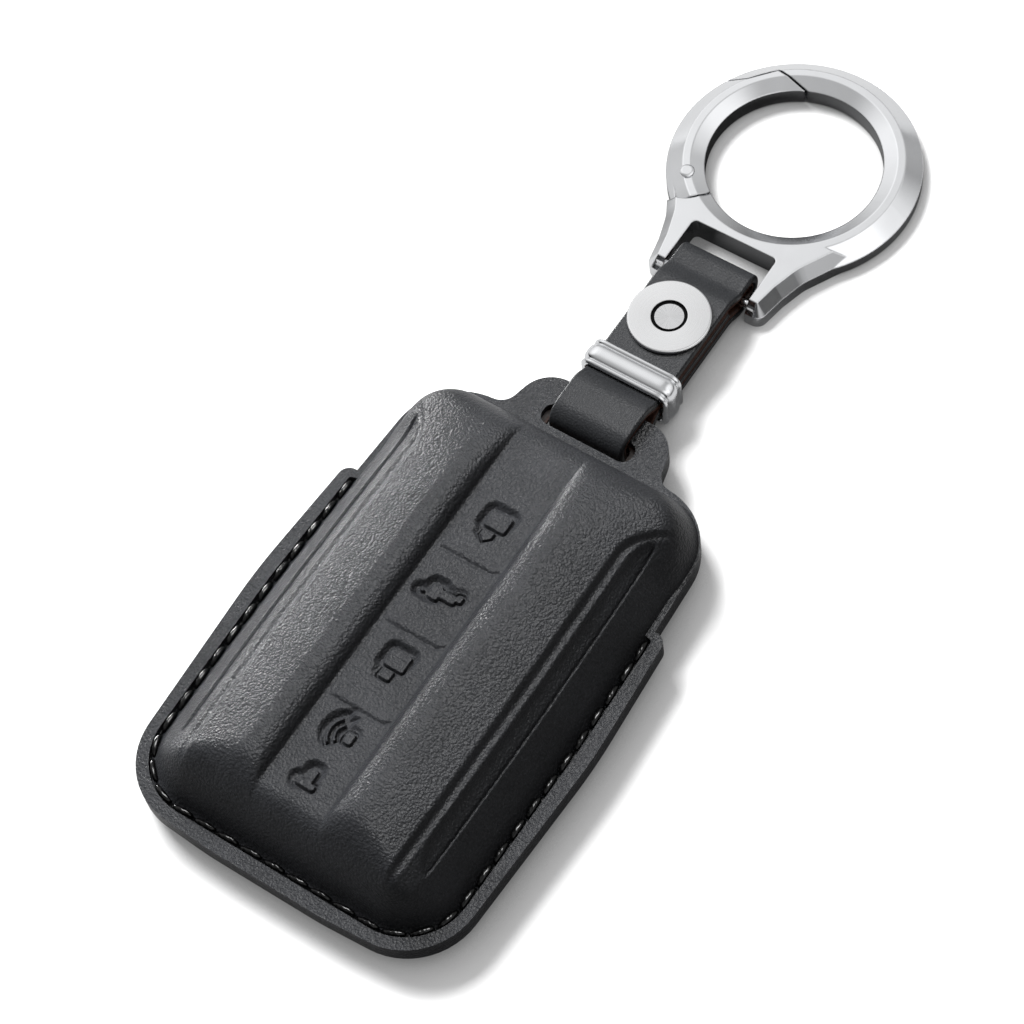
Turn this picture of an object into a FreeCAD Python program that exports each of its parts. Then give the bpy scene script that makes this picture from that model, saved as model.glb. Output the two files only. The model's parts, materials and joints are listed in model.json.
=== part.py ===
import FreeCAD, Part
import Sketcher
import math
import os

# Moulded leather cover for a car key, with a strap, a riveted stud and a sprung key ring.
# The cover lies on its back: +X across it, +Y along it towards the ring, +Z out of its front.
# The origin is the middle of the flat back face.

# Driving dimensions in millimetres, angles in degrees

SIZES = {
    # cover: outline of the sewn flange, the open rim and the tab
    "seam_height": 4.7,
    "flange_thickness": 1.5,
    "flange_half_width": 27.4,
    "flange_bottom": 37.6,
    "bottom_flat_half": 9.0,
    "bottom_crown": 1.0,
    "bottom_bend_radius": 60.0,
    "flange_side_taper": 1.6,
    "flange_corner_radius": 10.5,
    "flange_bulge": 1.0,
    "side_bend_radius": 90.0,
    "flange_end": 18.9,
    "flange_end_taper": 1.1,
    "flange_step_radius": 1.0,
    "rim_step": 3.0,
    "rim_taper": 0.8,
    "rim_top": 37.7,
    "rim_corner_radius": 10.0,
    "rim_crown": 0.5,
    "tab_wall": 3.4,
    "tab_root_flare": 1.8,
    "tab_length": 8.1,
    "tab_corner_radius": 5.0,
    "tab_root_radius": 2.6,
    "tab_gap": 0.6,
    "slot_margin": 0.7,
    "slot_width": 3.4,
    "slot_side_room": 1.4,
    "slot_corner_radius": 1.55,
    # cover: raised front with its ridges, channel and side facets
    "cover_height": 16.7,
    "seam_margin": 4.0,
    "foot_margin": 3.4,
    "rim_margin": 0.6,
    "crown_spare": 0.6,
    "dome_side_run": 7.5,
    "dome_top_run": 4.6,
    "dome_bottom_run": 5.2,
    "end_shoulder_fall": 7.3,
    "end_run": 10.6,
    "dome_corner_radius": 9.0,
    "channel_depth": 1.7,
    "channel_floor_half": 5.75,
    "ridge_inner_half": 8.4,
    "ridge_side_run": 6.8,
    "ridge_fall": 2.4,
    "facet_run": 2.8,
    "facet_drop": 2.8,
    "ridge_round": 1.4,
    "channel_round": 1.0,
    "facet_depth": 0.5,
    "facet_ridge_margin": 0.55,
    "facet_crease_margin": 0.3,
    "facet_top": 27.9,
    "facet_bottom": 27.2,
    "facet_tip_run": 6.0,
    "facet_tip_radius": 5.0,
    # cover: back shell, the pocket for the key and the linings
    "back_slope_run": 2.6,
    "back_corner_radius": 10.6,
    "pocket_wall": 2.4,
    "pocket_corner_radius": 6.4,
    "ceiling_wall": 1.6,
    "ceiling_thickness": 1.6,
    "floor_wall": 2.0,
    "floor_thickness": 1.5,
    "lining_thickness": 0.4,
    "bond_gap": 0.05,
    "tab_lining_thickness": 0.3,
    "tab_lining_inset": 0.4,
    # seam
    "stitch_pitch": 3.65,
    "stitch_length": 2.9,
    "stitch_width": 0.8,
    "stitch_height": 0.5,
    "seam_offset": 0.75,
    "seam_corner_radius": 8.8,
    "seam_end_margin": 1.2,
    # strap: two bonded plies, folded round the tab and the crossbar
    "strap_half_width": 6.0,
    "leather_thickness": 1.2,
    "strap_lining_thickness": 0.5,
    "ply_gap": 0.1,
    "strap_top": 6.7,
    "tab_clearance": 0.45,
    "slot_clearance": 0.6,
    "tab_flat_margin": 0.5,
    "tab_ramp": 2.4,
    "tail_margin": 0.5,
    "lap_margin": 0.2,
    "stud_margin": 0.3,
    "ring_ramp": 2.7,
    "ring_flat_margin": 0.7,
    "bar_clearance": 0.15,
    "fold_reach": 4.4,
    "fold_round": 2.3,
    # keeper
    "keeper_length": 4.4,
    "keeper_margin": 0.3,
    "keeper_travel": 1.9,
    "keeper_wall": 0.75,
    "keeper_clearance": 0.2,
    "keeper_corner_radius": 0.4,
    "keeper_rib_length": 2.2,
    "keeper_rib_height": 0.4,
    "keeper_rim_length": 0.75,
    "keeper_rim_height": 0.2,
    # stud
    "disc_thickness": 0.8,
    "disc_edge": 0.15,
    "disc_floor": 0.3,
    "post_radius": 1.25,
    "post_head_radius": 2.1,
    "post_head_height": 0.32,
    "head_gap": 0.25,
    "post_bore_radius": 0.8,
    "post_bore_depth": 3.4,
    "post_clearance": 0.05,
    "screw_head_radius": 4.0,
    "screw_head_height": 0.7,
    "screw_slot_width": 0.8,
    "screw_slot_depth": 0.35,
    # ring and its fork
    "ring_outer_radius": 18.69,
    "ring_width": 5.69,
    "ring_height": 4.14,
    "ring_band_inset": 2.55,
    "ring_band_width": 1.14,
    "ring_wall_height": 2.1,
    "ring_bore_height": 3.03,
    "ring_bottom_edge": 0.4,
    "window_side_room": 1.0,
    "window_wall": 3.16,
    "window_length": 7.8,
    "window_corner_radius": 0.8,
    "fork_tip_margin": 1.34,
    "fork_tip_wall": 2.5,
    "fork_arm_wall": 3.4,
    "fork_arm_length": 4.8,
    "fork_neck_wall": 4.6,
    "fork_neck_length": 8.7,
    "fork_root_angle": 31.6,
    "fork_tip_radius": 1.6,
    "fork_neck_radius": 7.0,
    "fork_draft": 35.0,
    # crossbar
    "bar_radius": 0.75,
    "bar_height": 2.65,
    "bar_seat_depth": 1.2,
    # gate and its hinge
    "pin_angle": 217.9,
    "gate_opening": 25.0,
    "pin_radius": 0.8,
    "pin_head_radius": 1.1,
    "pin_head_height": 0.4,
    "pin_clearance": 0.05,
    "knuckle_radius": 4.4,
    "gate_gap": 0.3,
    "gate_back_angle": 188.0,
    "slit_outer_angle": 173.4,
    "step_back_angle": 146.7,
    "step_front_angle": 129.1,
    "nose_inner_angle": 102.5,
    "nose_overrun": 1.2,
    "tongue_half_width": 1.9,
    "tongue_bottom": 1.0,
    "tongue_thickness": 0.9,
    "tongue_root": 1.3,
    "tongue_clearance": 0.1,
    "spring_room": 0.7,
    "spring_bend_radius": 1.25,
    "spring_strip_thickness": 0.3,
    "spring_strip_width": 0.4,
    "spring_leg": 1.5,
    "spring_wrap": 200.0,
    "cut_overrun": 2.0,
}

FULL_TURN = 360.0
QUARTER_TURN = 90.0
HALF = 0.5
# Two places or directions closer than this are the same one
SAME = 1e-4
# How far the nose gap leans sideways, for each millimetre that it opens
NOSE_GAP_LEAN_SHARE = 0.35
END_FALL_SHARE = 0.9


class Size:
    """A dimension that carries its number and the sheet formula that gives it."""

    def __init__(self, value, formula):
        self.value = value
        self.formula = formula

    def _join(self, other, sign, value):
        return Size(value, "(%s %s %s)" % (self.formula, sign, other.formula))

    def __add__(self, other):
        return self._join(other, "+", self.value + other.value)

    def __sub__(self, other):
        return self._join(other, "-", self.value - other.value)

    def __mul__(self, factor):
        return Size(self.value * factor, "(%s * %s)" % (self.formula, factor))

    def __neg__(self):
        return Size(-self.value, "(-%s)" % self.formula)


ZERO = Size(0.0, "0")

doc = FreeCAD.newDocument("key_fob_cover")
sheet = doc.addObject("Spreadsheet::Sheet", "Sizes")
for row, (name, number) in enumerate(SIZES.items(), start=1):
    sheet.set("A%d" % row, name)
    sheet.set("B%d" % row, str(number))
    sheet.setAlias("B%d" % row, name)
doc.recompute()


def size(name):
    """The named dimension of the sheet."""
    return Size(float(sheet.get(name)), "Sizes.%s" % name)


def polar(radius, angle):
    """The point at a radius and an angle, as a pair of sizes."""
    turn = math.radians(angle.value)
    across = Size(radius.value * math.cos(turn), "(%s * cos(%s))" % (radius.formula, angle.formula))
    along = Size(radius.value * math.sin(turn), "(%s * sin(%s))" % (radius.formula, angle.formula))
    return across, along


def bind(thing, prop, length):
    """Tie a property to a formula of the sheet."""
    thing.setExpression(prop, length.formula)


# Sketches


def lock(sketch, geometry, point, place):
    """Tie both coordinates of a sketch point to the sheet."""
    for axis, length in zip(("DistanceX", "DistanceY"), place):
        index = sketch.addConstraint(Sketcher.Constraint(axis, -1, 1, geometry, point, length.value))
        bind(sketch, "Constraints[%d]" % index, length)


def corner_cut(before, corner, after, radius):
    """Where a rounded corner leaves its two sides, its middle and the way that it turns."""
    back = (before - corner).normalize()
    ahead = (after - corner).normalize()
    half_angle = back.getAngle(ahead) * HALF
    reach = radius / math.tan(half_angle)
    centre = corner + (back + ahead).normalize() * (radius / math.sin(half_angle))
    return corner + back * reach, corner + ahead * reach, centre


def add_outline(sketch, corners):
    """Close an outline through corners given as (u, v) or as (u, v, radius)."""
    spots = [FreeCAD.Vector(c[0].value, c[1].value, 0) for c in corners]
    count = len(corners)
    starts, ends, arcs = {}, {}, {}
    for i, corner in enumerate(corners):
        starts[i] = ends[i] = spots[i]
        if len(corner) > 2:
            cut = corner_cut(spots[i - 1], spots[i], spots[(i + 1) % count], corner[2].value)
            ends[i], starts[i], centre = cut
            middle = centre + (spots[i] - centre).normalize() * corner[2].value
            arcs[i] = Part.Arc(cut[0], middle, cut[1])
    lines = []
    for i in range(count):
        lines.append(sketch.addGeometry(Part.LineSegment(starts[i], ends[(i + 1) % count])))
    for i, corner in enumerate(corners):
        before, after = lines[i - 1], lines[i]
        if i not in arcs:
            sketch.addConstraint(Sketcher.Constraint("Coincident", before, 2, after, 1))
            lock(sketch, after, 1, corner[:2])
            continue
        add_rounded_corner(sketch, arcs[i], before, after, corner)


def add_rounded_corner(sketch, arc, before, after, corner):
    """Join two lines by a tangent arc whose sharp corner is tied to the sheet."""
    bend = sketch.addGeometry(arc)
    first, last = sketch.getPoint(bend, 1), sketch.getPoint(bend, 2)
    near = sketch.getPoint(before, 2)
    enter, leave = (1, 2) if first.distanceToPoint(near) < last.distanceToPoint(near) else (2, 1)
    sketch.addConstraint(Sketcher.Constraint("Tangent", before, 2, bend, enter))
    sketch.addConstraint(Sketcher.Constraint("Tangent", after, 1, bend, leave))
    index = sketch.addConstraint(Sketcher.Constraint("Radius", bend, corner[2].value))
    bind(sketch, "Constraints[%d]" % index, corner[2])
    spot = sketch.addGeometry(Part.Point(FreeCAD.Vector(corner[0].value, corner[1].value, 0)), True)
    lock(sketch, spot, 1, corner[:2])
    sketch.addConstraint(Sketcher.Constraint("PointOnObject", spot, 1, before))
    sketch.addConstraint(Sketcher.Constraint("PointOnObject", spot, 1, after))


def add_circle(sketch, place, radius):
    """A circle whose middle and radius are tied to the sheet."""
    middle = FreeCAD.Vector(place[0].value, place[1].value, 0)
    ring = sketch.addGeometry(Part.Circle(middle, FreeCAD.Vector(0, 0, 1), radius.value))
    lock(sketch, ring, 3, place)
    index = sketch.addConstraint(Sketcher.Constraint("Radius", ring, radius.value))
    bind(sketch, "Constraints[%d]" % index, radius)


def mirrored(half):
    """A whole outline from its right half, listed from the middle of one end to the other."""
    return half + [(-c[0],) + tuple(c[1:]) for c in reversed(half)]


def rounded_box(half_width, low, high, radius):
    """Corners of a rounded rectangle that is even about the middle line."""
    return mirrored([(half_width, low, radius), (half_width, high, radius)])


def set_on_plane(thing, body, role):
    """Attach a thing to one of the body's own origin planes."""
    plane = [f for f in body.Origin.OriginFeatures if f.Role == role][0]
    thing.AttachmentSupport = (plane, [""])
    thing.MapMode = "FlatFace"


def body_sketch(body, role, name, height=ZERO):
    """A sketch on one of the body's own origin planes, moved along its normal."""
    sketch = body.newObject("Sketcher::SketchObject", name)
    set_on_plane(sketch, body, role)
    bind(sketch, "AttachmentOffset.Base.z", height)
    return sketch


def outline_sketch(body, role, name, height, *outlines):
    """A body's sketch that holds one or more closed outlines."""
    sketch = body_sketch(body, role, name, height)
    for corners in outlines:
        add_outline(sketch, corners)
    return sketch


# Features of a body


def new_body(label):
    """An empty body under the name of its piece."""
    body = doc.addObject("PartDesign::Body", label)
    body.Label = label
    return body


def extrude(body, kind, sketch, length, symmetric=False, turned=False):
    """A pad or a pocket of a sketch."""
    feature = body.newObject("PartDesign::" + kind, sketch.Name + "_" + kind.lower())
    feature.Profile = sketch
    feature.SideType = "Symmetric" if symmetric else "One side"
    feature.Reversed = turned
    bind(feature, "Length", length)
    doc.recompute()
    return feature


def revolve(body, sketch):
    """A full turn of a sketch about its upright axis."""
    feature = body.newObject("PartDesign::Revolution", sketch.Name + "_turned")
    feature.Profile = sketch
    feature.ReferenceAxis = (sketch, ["V_Axis"])
    feature.Angle = FULL_TURN
    doc.recompute()
    return feature


def round_edges(body, radius, wanted):
    """Round the edges of the body for which the test holds."""
    base = body.Tip
    names = ["Edge%d" % i for i, edge in enumerate(base.Shape.Edges, start=1) if wanted(edge)]
    feature = body.newObject("PartDesign::Fillet", base.Name + "_round")
    feature.Base = (base, names)
    bind(feature, "Radius", radius)
    doc.recompute()
    return feature


def runs_along(edge, direction):
    """Whether an edge is straight and lies along a direction."""
    if edge.Degenerated or not isinstance(edge.Curve, Part.Line):
        return False
    return abs(edge.Curve.Direction.dot(direction)) > 1 - SAME


ALONG_X = FreeCAD.Vector(1, 0, 0)
ALONG_Y = FreeCAD.Vector(0, 1, 0)
ALONG_Z = FreeCAD.Vector(0, 0, 1)


def edge_at(edge, direction, places):
    """Whether an edge runs along a direction through one of the given places."""
    if not runs_along(edge, direction):
        return False
    middle = edge.CenterOfMass
    keep = [i for i in range(3) if abs(direction[i]) < HALF]
    spot = (middle[keep[0]], middle[keep[1]])
    for place in places:
        if math.dist(spot, (place[0].value, place[1].value)) < SAME:
            return True
    return False


# Cover


def dome_half():
    """Half width of the raised front at its foot."""
    return size("flange_half_width") - size("seam_margin")


def dome_low():
    """Sewn end of the raised front at its foot."""
    return size("foot_margin") - size("flange_bottom")


def dome_high():
    """Open end of the raised front at its foot."""
    return size("rim_top") - size("rim_margin")


def slot_half():
    """Half length of the tab's slot."""
    return size("strap_half_width") + size("slot_side_room")


def slot_near():
    """Edge of the slot on the cover's side."""
    return size("rim_top") + size("slot_margin")


def slot_far():
    """Edge of the slot on the strap's side."""
    return slot_near() + size("slot_width")


def tab_half():
    """Half width of the tab."""
    return slot_half() + size("tab_wall")


def tab_end():
    """Outer end of the tab."""
    return size("rim_top") + size("tab_length")


def cover_outline():
    """Flange, rim and tab of one shell, seen from the front."""
    widest = size("flange_half_width")
    rim = widest - size("rim_step")
    return mirrored([
        (size("bottom_flat_half"), -size("flange_bottom"), size("bottom_bend_radius")),
        (widest - size("flange_side_taper"), size("bottom_crown") - size("flange_bottom"),
         size("flange_corner_radius")),
        (widest, -size("flange_bulge"), size("side_bend_radius")),
        (widest - size("flange_end_taper"), size("flange_end"), size("flange_step_radius")),
        (rim, size("flange_end")),
        (rim - size("rim_taper"), size("rim_top"), size("rim_corner_radius")),
        (tab_half() + size("tab_root_flare"), size("rim_top") + size("rim_crown"), size("tab_root_radius")),
        (tab_half(), tab_end(), size("tab_corner_radius")),
    ])


def slot_outline():
    """The strap's slot in the tab."""
    return rounded_box(slot_half(), slot_near(), slot_far(), size("slot_corner_radius"))


def tab_relief_outline():
    """The part of a shell outside the rim, where the two tabs stand apart."""
    side = size("flange_half_width")
    foot = size("rim_top") + size("rim_crown")
    return mirrored([(side, foot), (side, tab_end() + size("cut_overrun"))])


def flat_box(half_width, low, high):
    """Corners of a plain rectangle that is even about the middle line."""
    return mirrored([(half_width, low), (half_width, high)])


def dome_foot(inset=ZERO):
    """Half width, low end and high end of the raised front at its foot."""
    return dome_half() - inset, dome_low() + inset, dome_high() - inset


def dome_crown(inset=ZERO):
    """Half width, low end and high end of the raised front at its top."""
    return (dome_half() - size("dome_side_run") - inset, dome_low() + size("dome_bottom_run") + inset,
            dome_high() - size("dome_top_run") - inset)


def joins(edge, first, last):
    """Whether an edge runs from one level to the other at a corner of a tapered block."""
    if len(edge.Vertexes) != 2:
        return False
    ends = sorted((v.Point for v in edge.Vertexes), key=lambda p: p.z)
    levels = sorted((first, last), key=lambda level: level[1].value)
    for end, (plan, height) in zip(ends, levels):
        half, low, high = (length.value for length in plan)
        off = min(abs(end.y - low), abs(end.y - high)) + abs(abs(end.x) - half) + abs(end.z - height.value)
        if off > SAME:
            return False
    return True


def tapered_block(body, kind, name, first, last, radius):
    """A wedge with four sloping sides between two levels, its slanting edges rounded."""
    wedge = body.newObject("PartDesign::" + kind, name + "_wedge")
    set_on_plane(wedge, body, "XZ_Plane")
    first, last = sorted((first, last), key=lambda level: level[1].value)
    for prefix, (plan, height), end in (("", first, "Ymin"), ("2", last, "Ymax")):
        half, low, high = plan
        bind(wedge, "X%smin" % prefix, -half)
        bind(wedge, "X%smax" % prefix, half)
        bind(wedge, "Z%smin" % prefix, -high)
        bind(wedge, "Z%smax" % prefix, -low)
        bind(wedge, end, height)
    doc.recompute()
    round_edges(body, radius, lambda edge: joins(edge, first, last))


def channel_floor():
    """Height of the channel's floor between the ridges."""
    return size("cover_height") - size("channel_depth")


def ridge_edge():
    """Outer edge of a ridge, where its side facet begins: place across and height."""
    return dome_half() - size("ridge_side_run"), size("cover_height") - size("ridge_fall")


def pocket_mouth(inset):
    """The key pocket where the two shells meet, as a level of a tapered block."""
    return dome_foot(size("pocket_wall") + inset), size("seam_height")


def pocket_ceiling(inset):
    """The key pocket's top, inside the front shell."""
    height = channel_floor() - size("ceiling_thickness") - inset
    return dome_crown(size("ceiling_wall") + inset), height


def pocket_floor(inset):
    """The key pocket's floor, inside the back shell."""
    return dome_foot(size("back_slope_run") + size("floor_wall") + inset), size("floor_thickness") + inset


def ridge_line():
    """Right half of the front's cross-section, from the channel out to past the side facet."""
    outer, high = ridge_edge()
    return [
        (size("channel_floor_half"), channel_floor()),
        (size("ridge_inner_half"), size("cover_height")),
        (outer, high),
        (outer + size("facet_run") * 2, high - size("facet_drop") * 2),
    ]


def cut_ridges(body):
    """Cut the channel, the ridges' slopes and the side facets along the whole front."""
    line = ridge_line()
    above = size("cover_height") + size("cut_overrun")
    section = outline_sketch(body, "XZ_Plane", "ridge_section", ZERO, mirrored(line + [(line[-1][0], above)]))
    extrude(body, "Pocket", section, (dome_high() - dome_low()) * 2, symmetric=True)
    round_edges(body, size("ridge_round"), lambda e: edge_at(e, ALONG_Y, mirrored([line[1]])))
    round_edges(body, size("channel_round"), lambda e: edge_at(e, ALONG_Y, mirrored([line[0]])))


def cut_end(body, name, foot, way):
    """Slope one end of the front off from its shoulder up to its crown."""
    above = size("cover_height") + size("cut_overrun")
    shoulder = size("cover_height") - size("end_shoulder_fall")
    section = outline_sketch(body, "YZ_Plane", name, ZERO, [
        (foot - size("cut_overrun") * way, shoulder - size("cut_overrun") * END_FALL_SHARE),
        (foot + size("end_run") * way, above),
        (foot - size("cut_overrun") * way, above),
    ])
    extrude(body, "Pocket", section, dome_half() * 4, symmetric=True)


def facet_half():
    """Half width of a side facet, across its slope."""
    run, drop = size("facet_run"), size("facet_drop")
    value = math.hypot(run.value, drop.value) * HALF
    return Size(value, "(sqrt(%s^2 + %s^2) / 2)" % (run.formula, drop.formula))


def facet_outline(side):
    """Long recess with pointed ends, across and along one side facet."""
    half = facet_half()
    inner = (size("facet_ridge_margin") - half) * side
    outer = (half - size("facet_crease_margin")) * side
    top = size("facet_top")
    bottom = -size("facet_bottom")
    run = size("facet_tip_run")
    tip = size("facet_tip_radius")
    return [(outer, bottom), (outer, top), (inner, top - run, tip), (inner, bottom + run, tip)]


def cut_facet(body, side):
    """Press the long recess into one side facet."""
    name = "right_facet" if side > 0 else "left_facet"
    sketch = body_sketch(body, "XY_Plane", name)
    lean = math.degrees(math.atan2(size("facet_drop").value, size("facet_run").value))
    sketch.AttachmentOffset = FreeCAD.Placement(FreeCAD.Vector(), FreeCAD.Rotation(ALONG_Y, lean * side))
    edge, height = ridge_edge()
    bind(sketch, "AttachmentOffset.Base.x", (edge + size("facet_run") * HALF) * side)
    bind(sketch, "AttachmentOffset.Base.z", height - size("facet_drop") * HALF)
    add_outline(sketch, facet_outline(side))
    extrude(body, "Pocket", sketch, size("facet_depth"))


def make_front_cover():
    """Raised front with two ridges, a channel and side facets, on a flange with a slotted tab."""
    body = new_body("front_cover")
    flange_top = size("seam_height") + size("flange_thickness")
    crown = (dome_crown(), size("cover_height") + size("crown_spare"))
    tapered_block(body, "AdditiveWedge", "dome", (dome_foot(), flange_top), crown, size("dome_corner_radius"))
    cut_ridges(body)
    cut_end(body, "sewn_end", dome_low(), 1)
    cut_end(body, "open_end", dome_high(), -1)
    cut_facet(body, 1)
    cut_facet(body, -1)
    flange = outline_sketch(body, "XY_Plane", "front_flange", size("seam_height"), cover_outline())
    extrude(body, "Pad", flange, size("flange_thickness"))
    tapered_block(body, "SubtractiveWedge", "front_pocket", pocket_mouth(ZERO), pocket_ceiling(ZERO),
                  size("pocket_corner_radius"))
    relief = outline_sketch(body, "XY_Plane", "front_relief", size("seam_height"), tab_relief_outline())
    extrude(body, "Pocket", relief, size("tab_gap") * HALF, turned=True)
    slot = outline_sketch(body, "XY_Plane", "front_slot", size("seam_height"), slot_outline())
    extrude(body, "Pocket", slot, size("flange_thickness") + size("cut_overrun"), turned=True)


def make_back_cover():
    """Shallow back shell with a flat face, on a flange with a slotted tab."""
    body = new_body("back_cover")
    flange_foot = size("seam_height") - size("flange_thickness")
    face = (dome_foot(size("back_slope_run")), ZERO)
    tapered_block(body, "AdditiveWedge", "back", face, (dome_foot(), flange_foot), size("back_corner_radius"))
    flange = outline_sketch(body, "XY_Plane", "back_flange", flange_foot, cover_outline())
    extrude(body, "Pad", flange, size("flange_thickness"))
    tapered_block(body, "SubtractiveWedge", "back_pocket", pocket_floor(ZERO), pocket_mouth(ZERO),
                  size("pocket_corner_radius"))
    relief = outline_sketch(body, "XY_Plane", "back_relief", size("seam_height"), tab_relief_outline())
    extrude(body, "Pocket", relief, size("tab_gap") * HALF)
    slot = outline_sketch(body, "XY_Plane", "back_slot", size("seam_height"), slot_outline())
    extrude(body, "Pocket", slot, size("flange_thickness") + size("cut_overrun"))


def lining_block(label, far_level, inset):
    """A solid block that fills the key pocket of one shell to within an inset."""
    body = new_body(label)
    radius = size("pocket_corner_radius") - inset
    tapered_block(body, "AdditiveWedge", label, far_level(inset), pocket_mouth(inset), radius)
    return body


def make_lining(label, far_level):
    """A thin lining bonded inside one shell."""
    gap = size("bond_gap")
    outer = lining_block(label + "_outer", far_level, gap)
    inner = lining_block(label + "_inner", far_level, gap + size("lining_thickness"))
    join("Cut", label, [outer, inner])


def make_linings():
    """Linings of both shells."""
    make_lining("front_lining", pocket_ceiling)
    make_lining("back_lining", pocket_floor)


def make_tab_lining():
    """Thin patch bonded to the back tab, seen through the front tab's slot."""
    body = new_body("tab_lining")
    inset = size("tab_lining_inset")
    foot = size("seam_height") - size("tab_gap") * HALF
    patch = outline_sketch(body, "XY_Plane", "tab_patch", foot, mirrored([
        (tab_half() - inset, size("rim_top") + size("rim_crown") + inset),
        (tab_half() - inset, tab_end() - inset, size("tab_corner_radius") - inset),
    ]))
    extrude(body, "Pad", patch, size("tab_lining_thickness"))
    slot = outline_sketch(body, "XY_Plane", "tab_patch_slot", foot, slot_outline())
    extrude(body, "Pocket", slot, size("tab_gap"), turned=True)


# Seam


def seam_path():
    """The seam's line round the sewn edge, from one flange end to the other."""
    side = (dome_half() + size("seam_offset")).value
    foot = (dome_low() - size("seam_offset")).value
    top = (size("flange_end") - size("seam_end_margin")).value
    radius = size("seam_corner_radius").value
    turn = radius * (1 - math.sqrt(HALF))
    lines = []
    for way in (-1, 1):
        upper = FreeCAD.Vector(way * side, top, 0)
        enter = FreeCAD.Vector(way * side, foot + radius, 0)
        middle = FreeCAD.Vector(way * (side - turn), foot + turn, 0)
        leave = FreeCAD.Vector(way * (side - radius), foot, 0)
        parts = [Part.makeLine(upper, enter), Part.Arc(enter, middle, leave).toShape()]
        lines.append(parts)
    left, right = lines
    base = Part.makeLine(left[1].Vertexes[1].Point, right[1].Vertexes[1].Point)
    return Part.Wire(left + [base] + list(reversed(right)))


def seam_stations():
    """Place and heading of each stitch, evenly spaced along the seam."""
    path = seam_path()
    count = int(path.Length / size("stitch_pitch").value)
    spots = path.discretize(Number=count * 2 + 1)
    for before, middle, after in zip(spots[0::2], spots[1::2], spots[2::2]):
        run = after - before
        yield middle, math.degrees(math.atan2(run.y, run.x))


def make_seam_thread(label, height):
    """A row of separate stitches that lie on one flange."""
    length = size("stitch_length").value
    width = size("stitch_width").value
    stitches = []
    for spot, heading in seam_stations():
        stitch = Part.makeBox(length, width, size("stitch_height").value,
                              FreeCAD.Vector(-length * HALF, -width * HALF, 0))
        stitch.Placement = FreeCAD.Placement(spot, FreeCAD.Rotation(ALONG_Z, heading))
        stitches.append(stitch)
    row = doc.addObject("Part::Feature", label)
    row.Label = label
    row.Shape = Part.makeCompound(stitches)
    bind(row, "Placement.Base.z", height)
    return row


def make_seam_threads():
    """Stitches on the front flange, and those under the back flange."""
    make_seam_thread("seam_thread_front", size("seam_height") + size("flange_thickness"))
    make_seam_thread("seam_thread_back", size("seam_height") - size("flange_thickness") - size("stitch_height"))


# Strap


def ramp_near():
    """Where the strap's plies come together after the tab."""
    return tab_end() + size("tab_flat_margin") + size("tab_ramp")


def keeper_near():
    """Edge of the keeper on the cover's side."""
    return ramp_near() + size("keeper_margin")


def stud_y():
    """The stud's middle along the strap."""
    return keeper_near() + size("keeper_length") + size("keeper_travel") + size("strap_half_width")


def ramp_far():
    """Where the strap's plies part again before the crossbar."""
    return stud_y() + size("strap_half_width") + size("stud_margin")


def bar_y():
    """The crossbar's middle along the strap."""
    return ramp_far() + size("ring_ramp") + size("ring_flat_margin")


def ring_y():
    """The ring's middle along the strap."""
    reach = ring_bore() + size("window_wall") + size("window_length")
    return bar_y() + reach


def strap_levels():
    """Outer faces of the plies where they lie together, from the top one down."""
    ply = size("leather_thickness") + size("strap_lining_thickness")
    top = size("strap_top")
    middle = top - ply * 2 - size("ply_gap")
    bottom = middle - ply - size("ply_gap")
    return ply, top, middle, bottom


def strap_path(depth):
    """The strap's side view at a depth under its outer face, from its tail round to its lapped end."""
    ply, top, middle, bottom = strap_levels()
    tab_room = size("flange_thickness") + size("tab_clearance") + ply
    tab_high = size("seam_height") + tab_room
    tab_low = size("seam_height") - tab_room
    bar_room = size("bar_radius") + size("bar_clearance") + ply
    ring_high = size("bar_height") + bar_room
    ring_low = size("bar_height") - bar_room
    near = slot_near() + size("slot_clearance") + depth
    far = bar_y() + size("fold_reach") - depth
    tab_flat = tab_end() + size("tab_flat_margin")
    ring_flat = bar_y() - size("ring_flat_margin")
    return [
        (ramp_near() + size("tail_margin"), bottom + depth),
        (ramp_far(), bottom + depth),
        (ring_flat, ring_low + depth),
        (far, ring_low + depth),
        (far, ring_high - depth),
        (ring_flat, ring_high - depth),
        (ramp_far(), top - depth),
        (ramp_near(), top - depth),
        (tab_flat, tab_high - depth),
        (near, tab_high - depth),
        (near, tab_low + depth),
        (tab_flat, tab_low + depth),
        (ramp_near(), middle + depth),
        (ramp_far() - size("lap_margin"), middle + depth),
    ]


FOLD_CORNERS = (3, 4, 9, 10)


def rounded_path(depth):
    """The strap's path with its folds rounded about the same middles at every depth."""
    rounded = []
    for i, place in enumerate(strap_path(depth)):
        if i in FOLD_CORNERS:
            rounded.append(place + (size("fold_round") - depth,))
        else:
            rounded.append(place)
    return rounded


def make_strap_ply(label, outer_depth, inner_depth):
    """One ply of the folded strap, with the stud's hole through it."""
    body = new_body(label)
    outline = rounded_path(outer_depth) + list(reversed(rounded_path(inner_depth)))
    side = outline_sketch(body, "YZ_Plane", label + "_side", ZERO, outline)
    extrude(body, "Pad", side, size("strap_half_width") * 2, symmetric=True)
    hole = body_sketch(body, "XY_Plane", label + "_hole")
    add_circle(hole, (ZERO, stud_y()), size("post_radius") + size("post_clearance"))
    extrude(body, "Pocket", hole, size("strap_top") + size("cut_overrun"), turned=True)
    return body


def make_strap():
    """Black leather outside and a brown lining inside, folded as one strip."""
    leather = size("leather_thickness")
    make_strap_ply("strap", ZERO, leather)
    make_strap_ply("strap_lining", leather, leather + size("strap_lining_thickness"))


# Keeper


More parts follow.
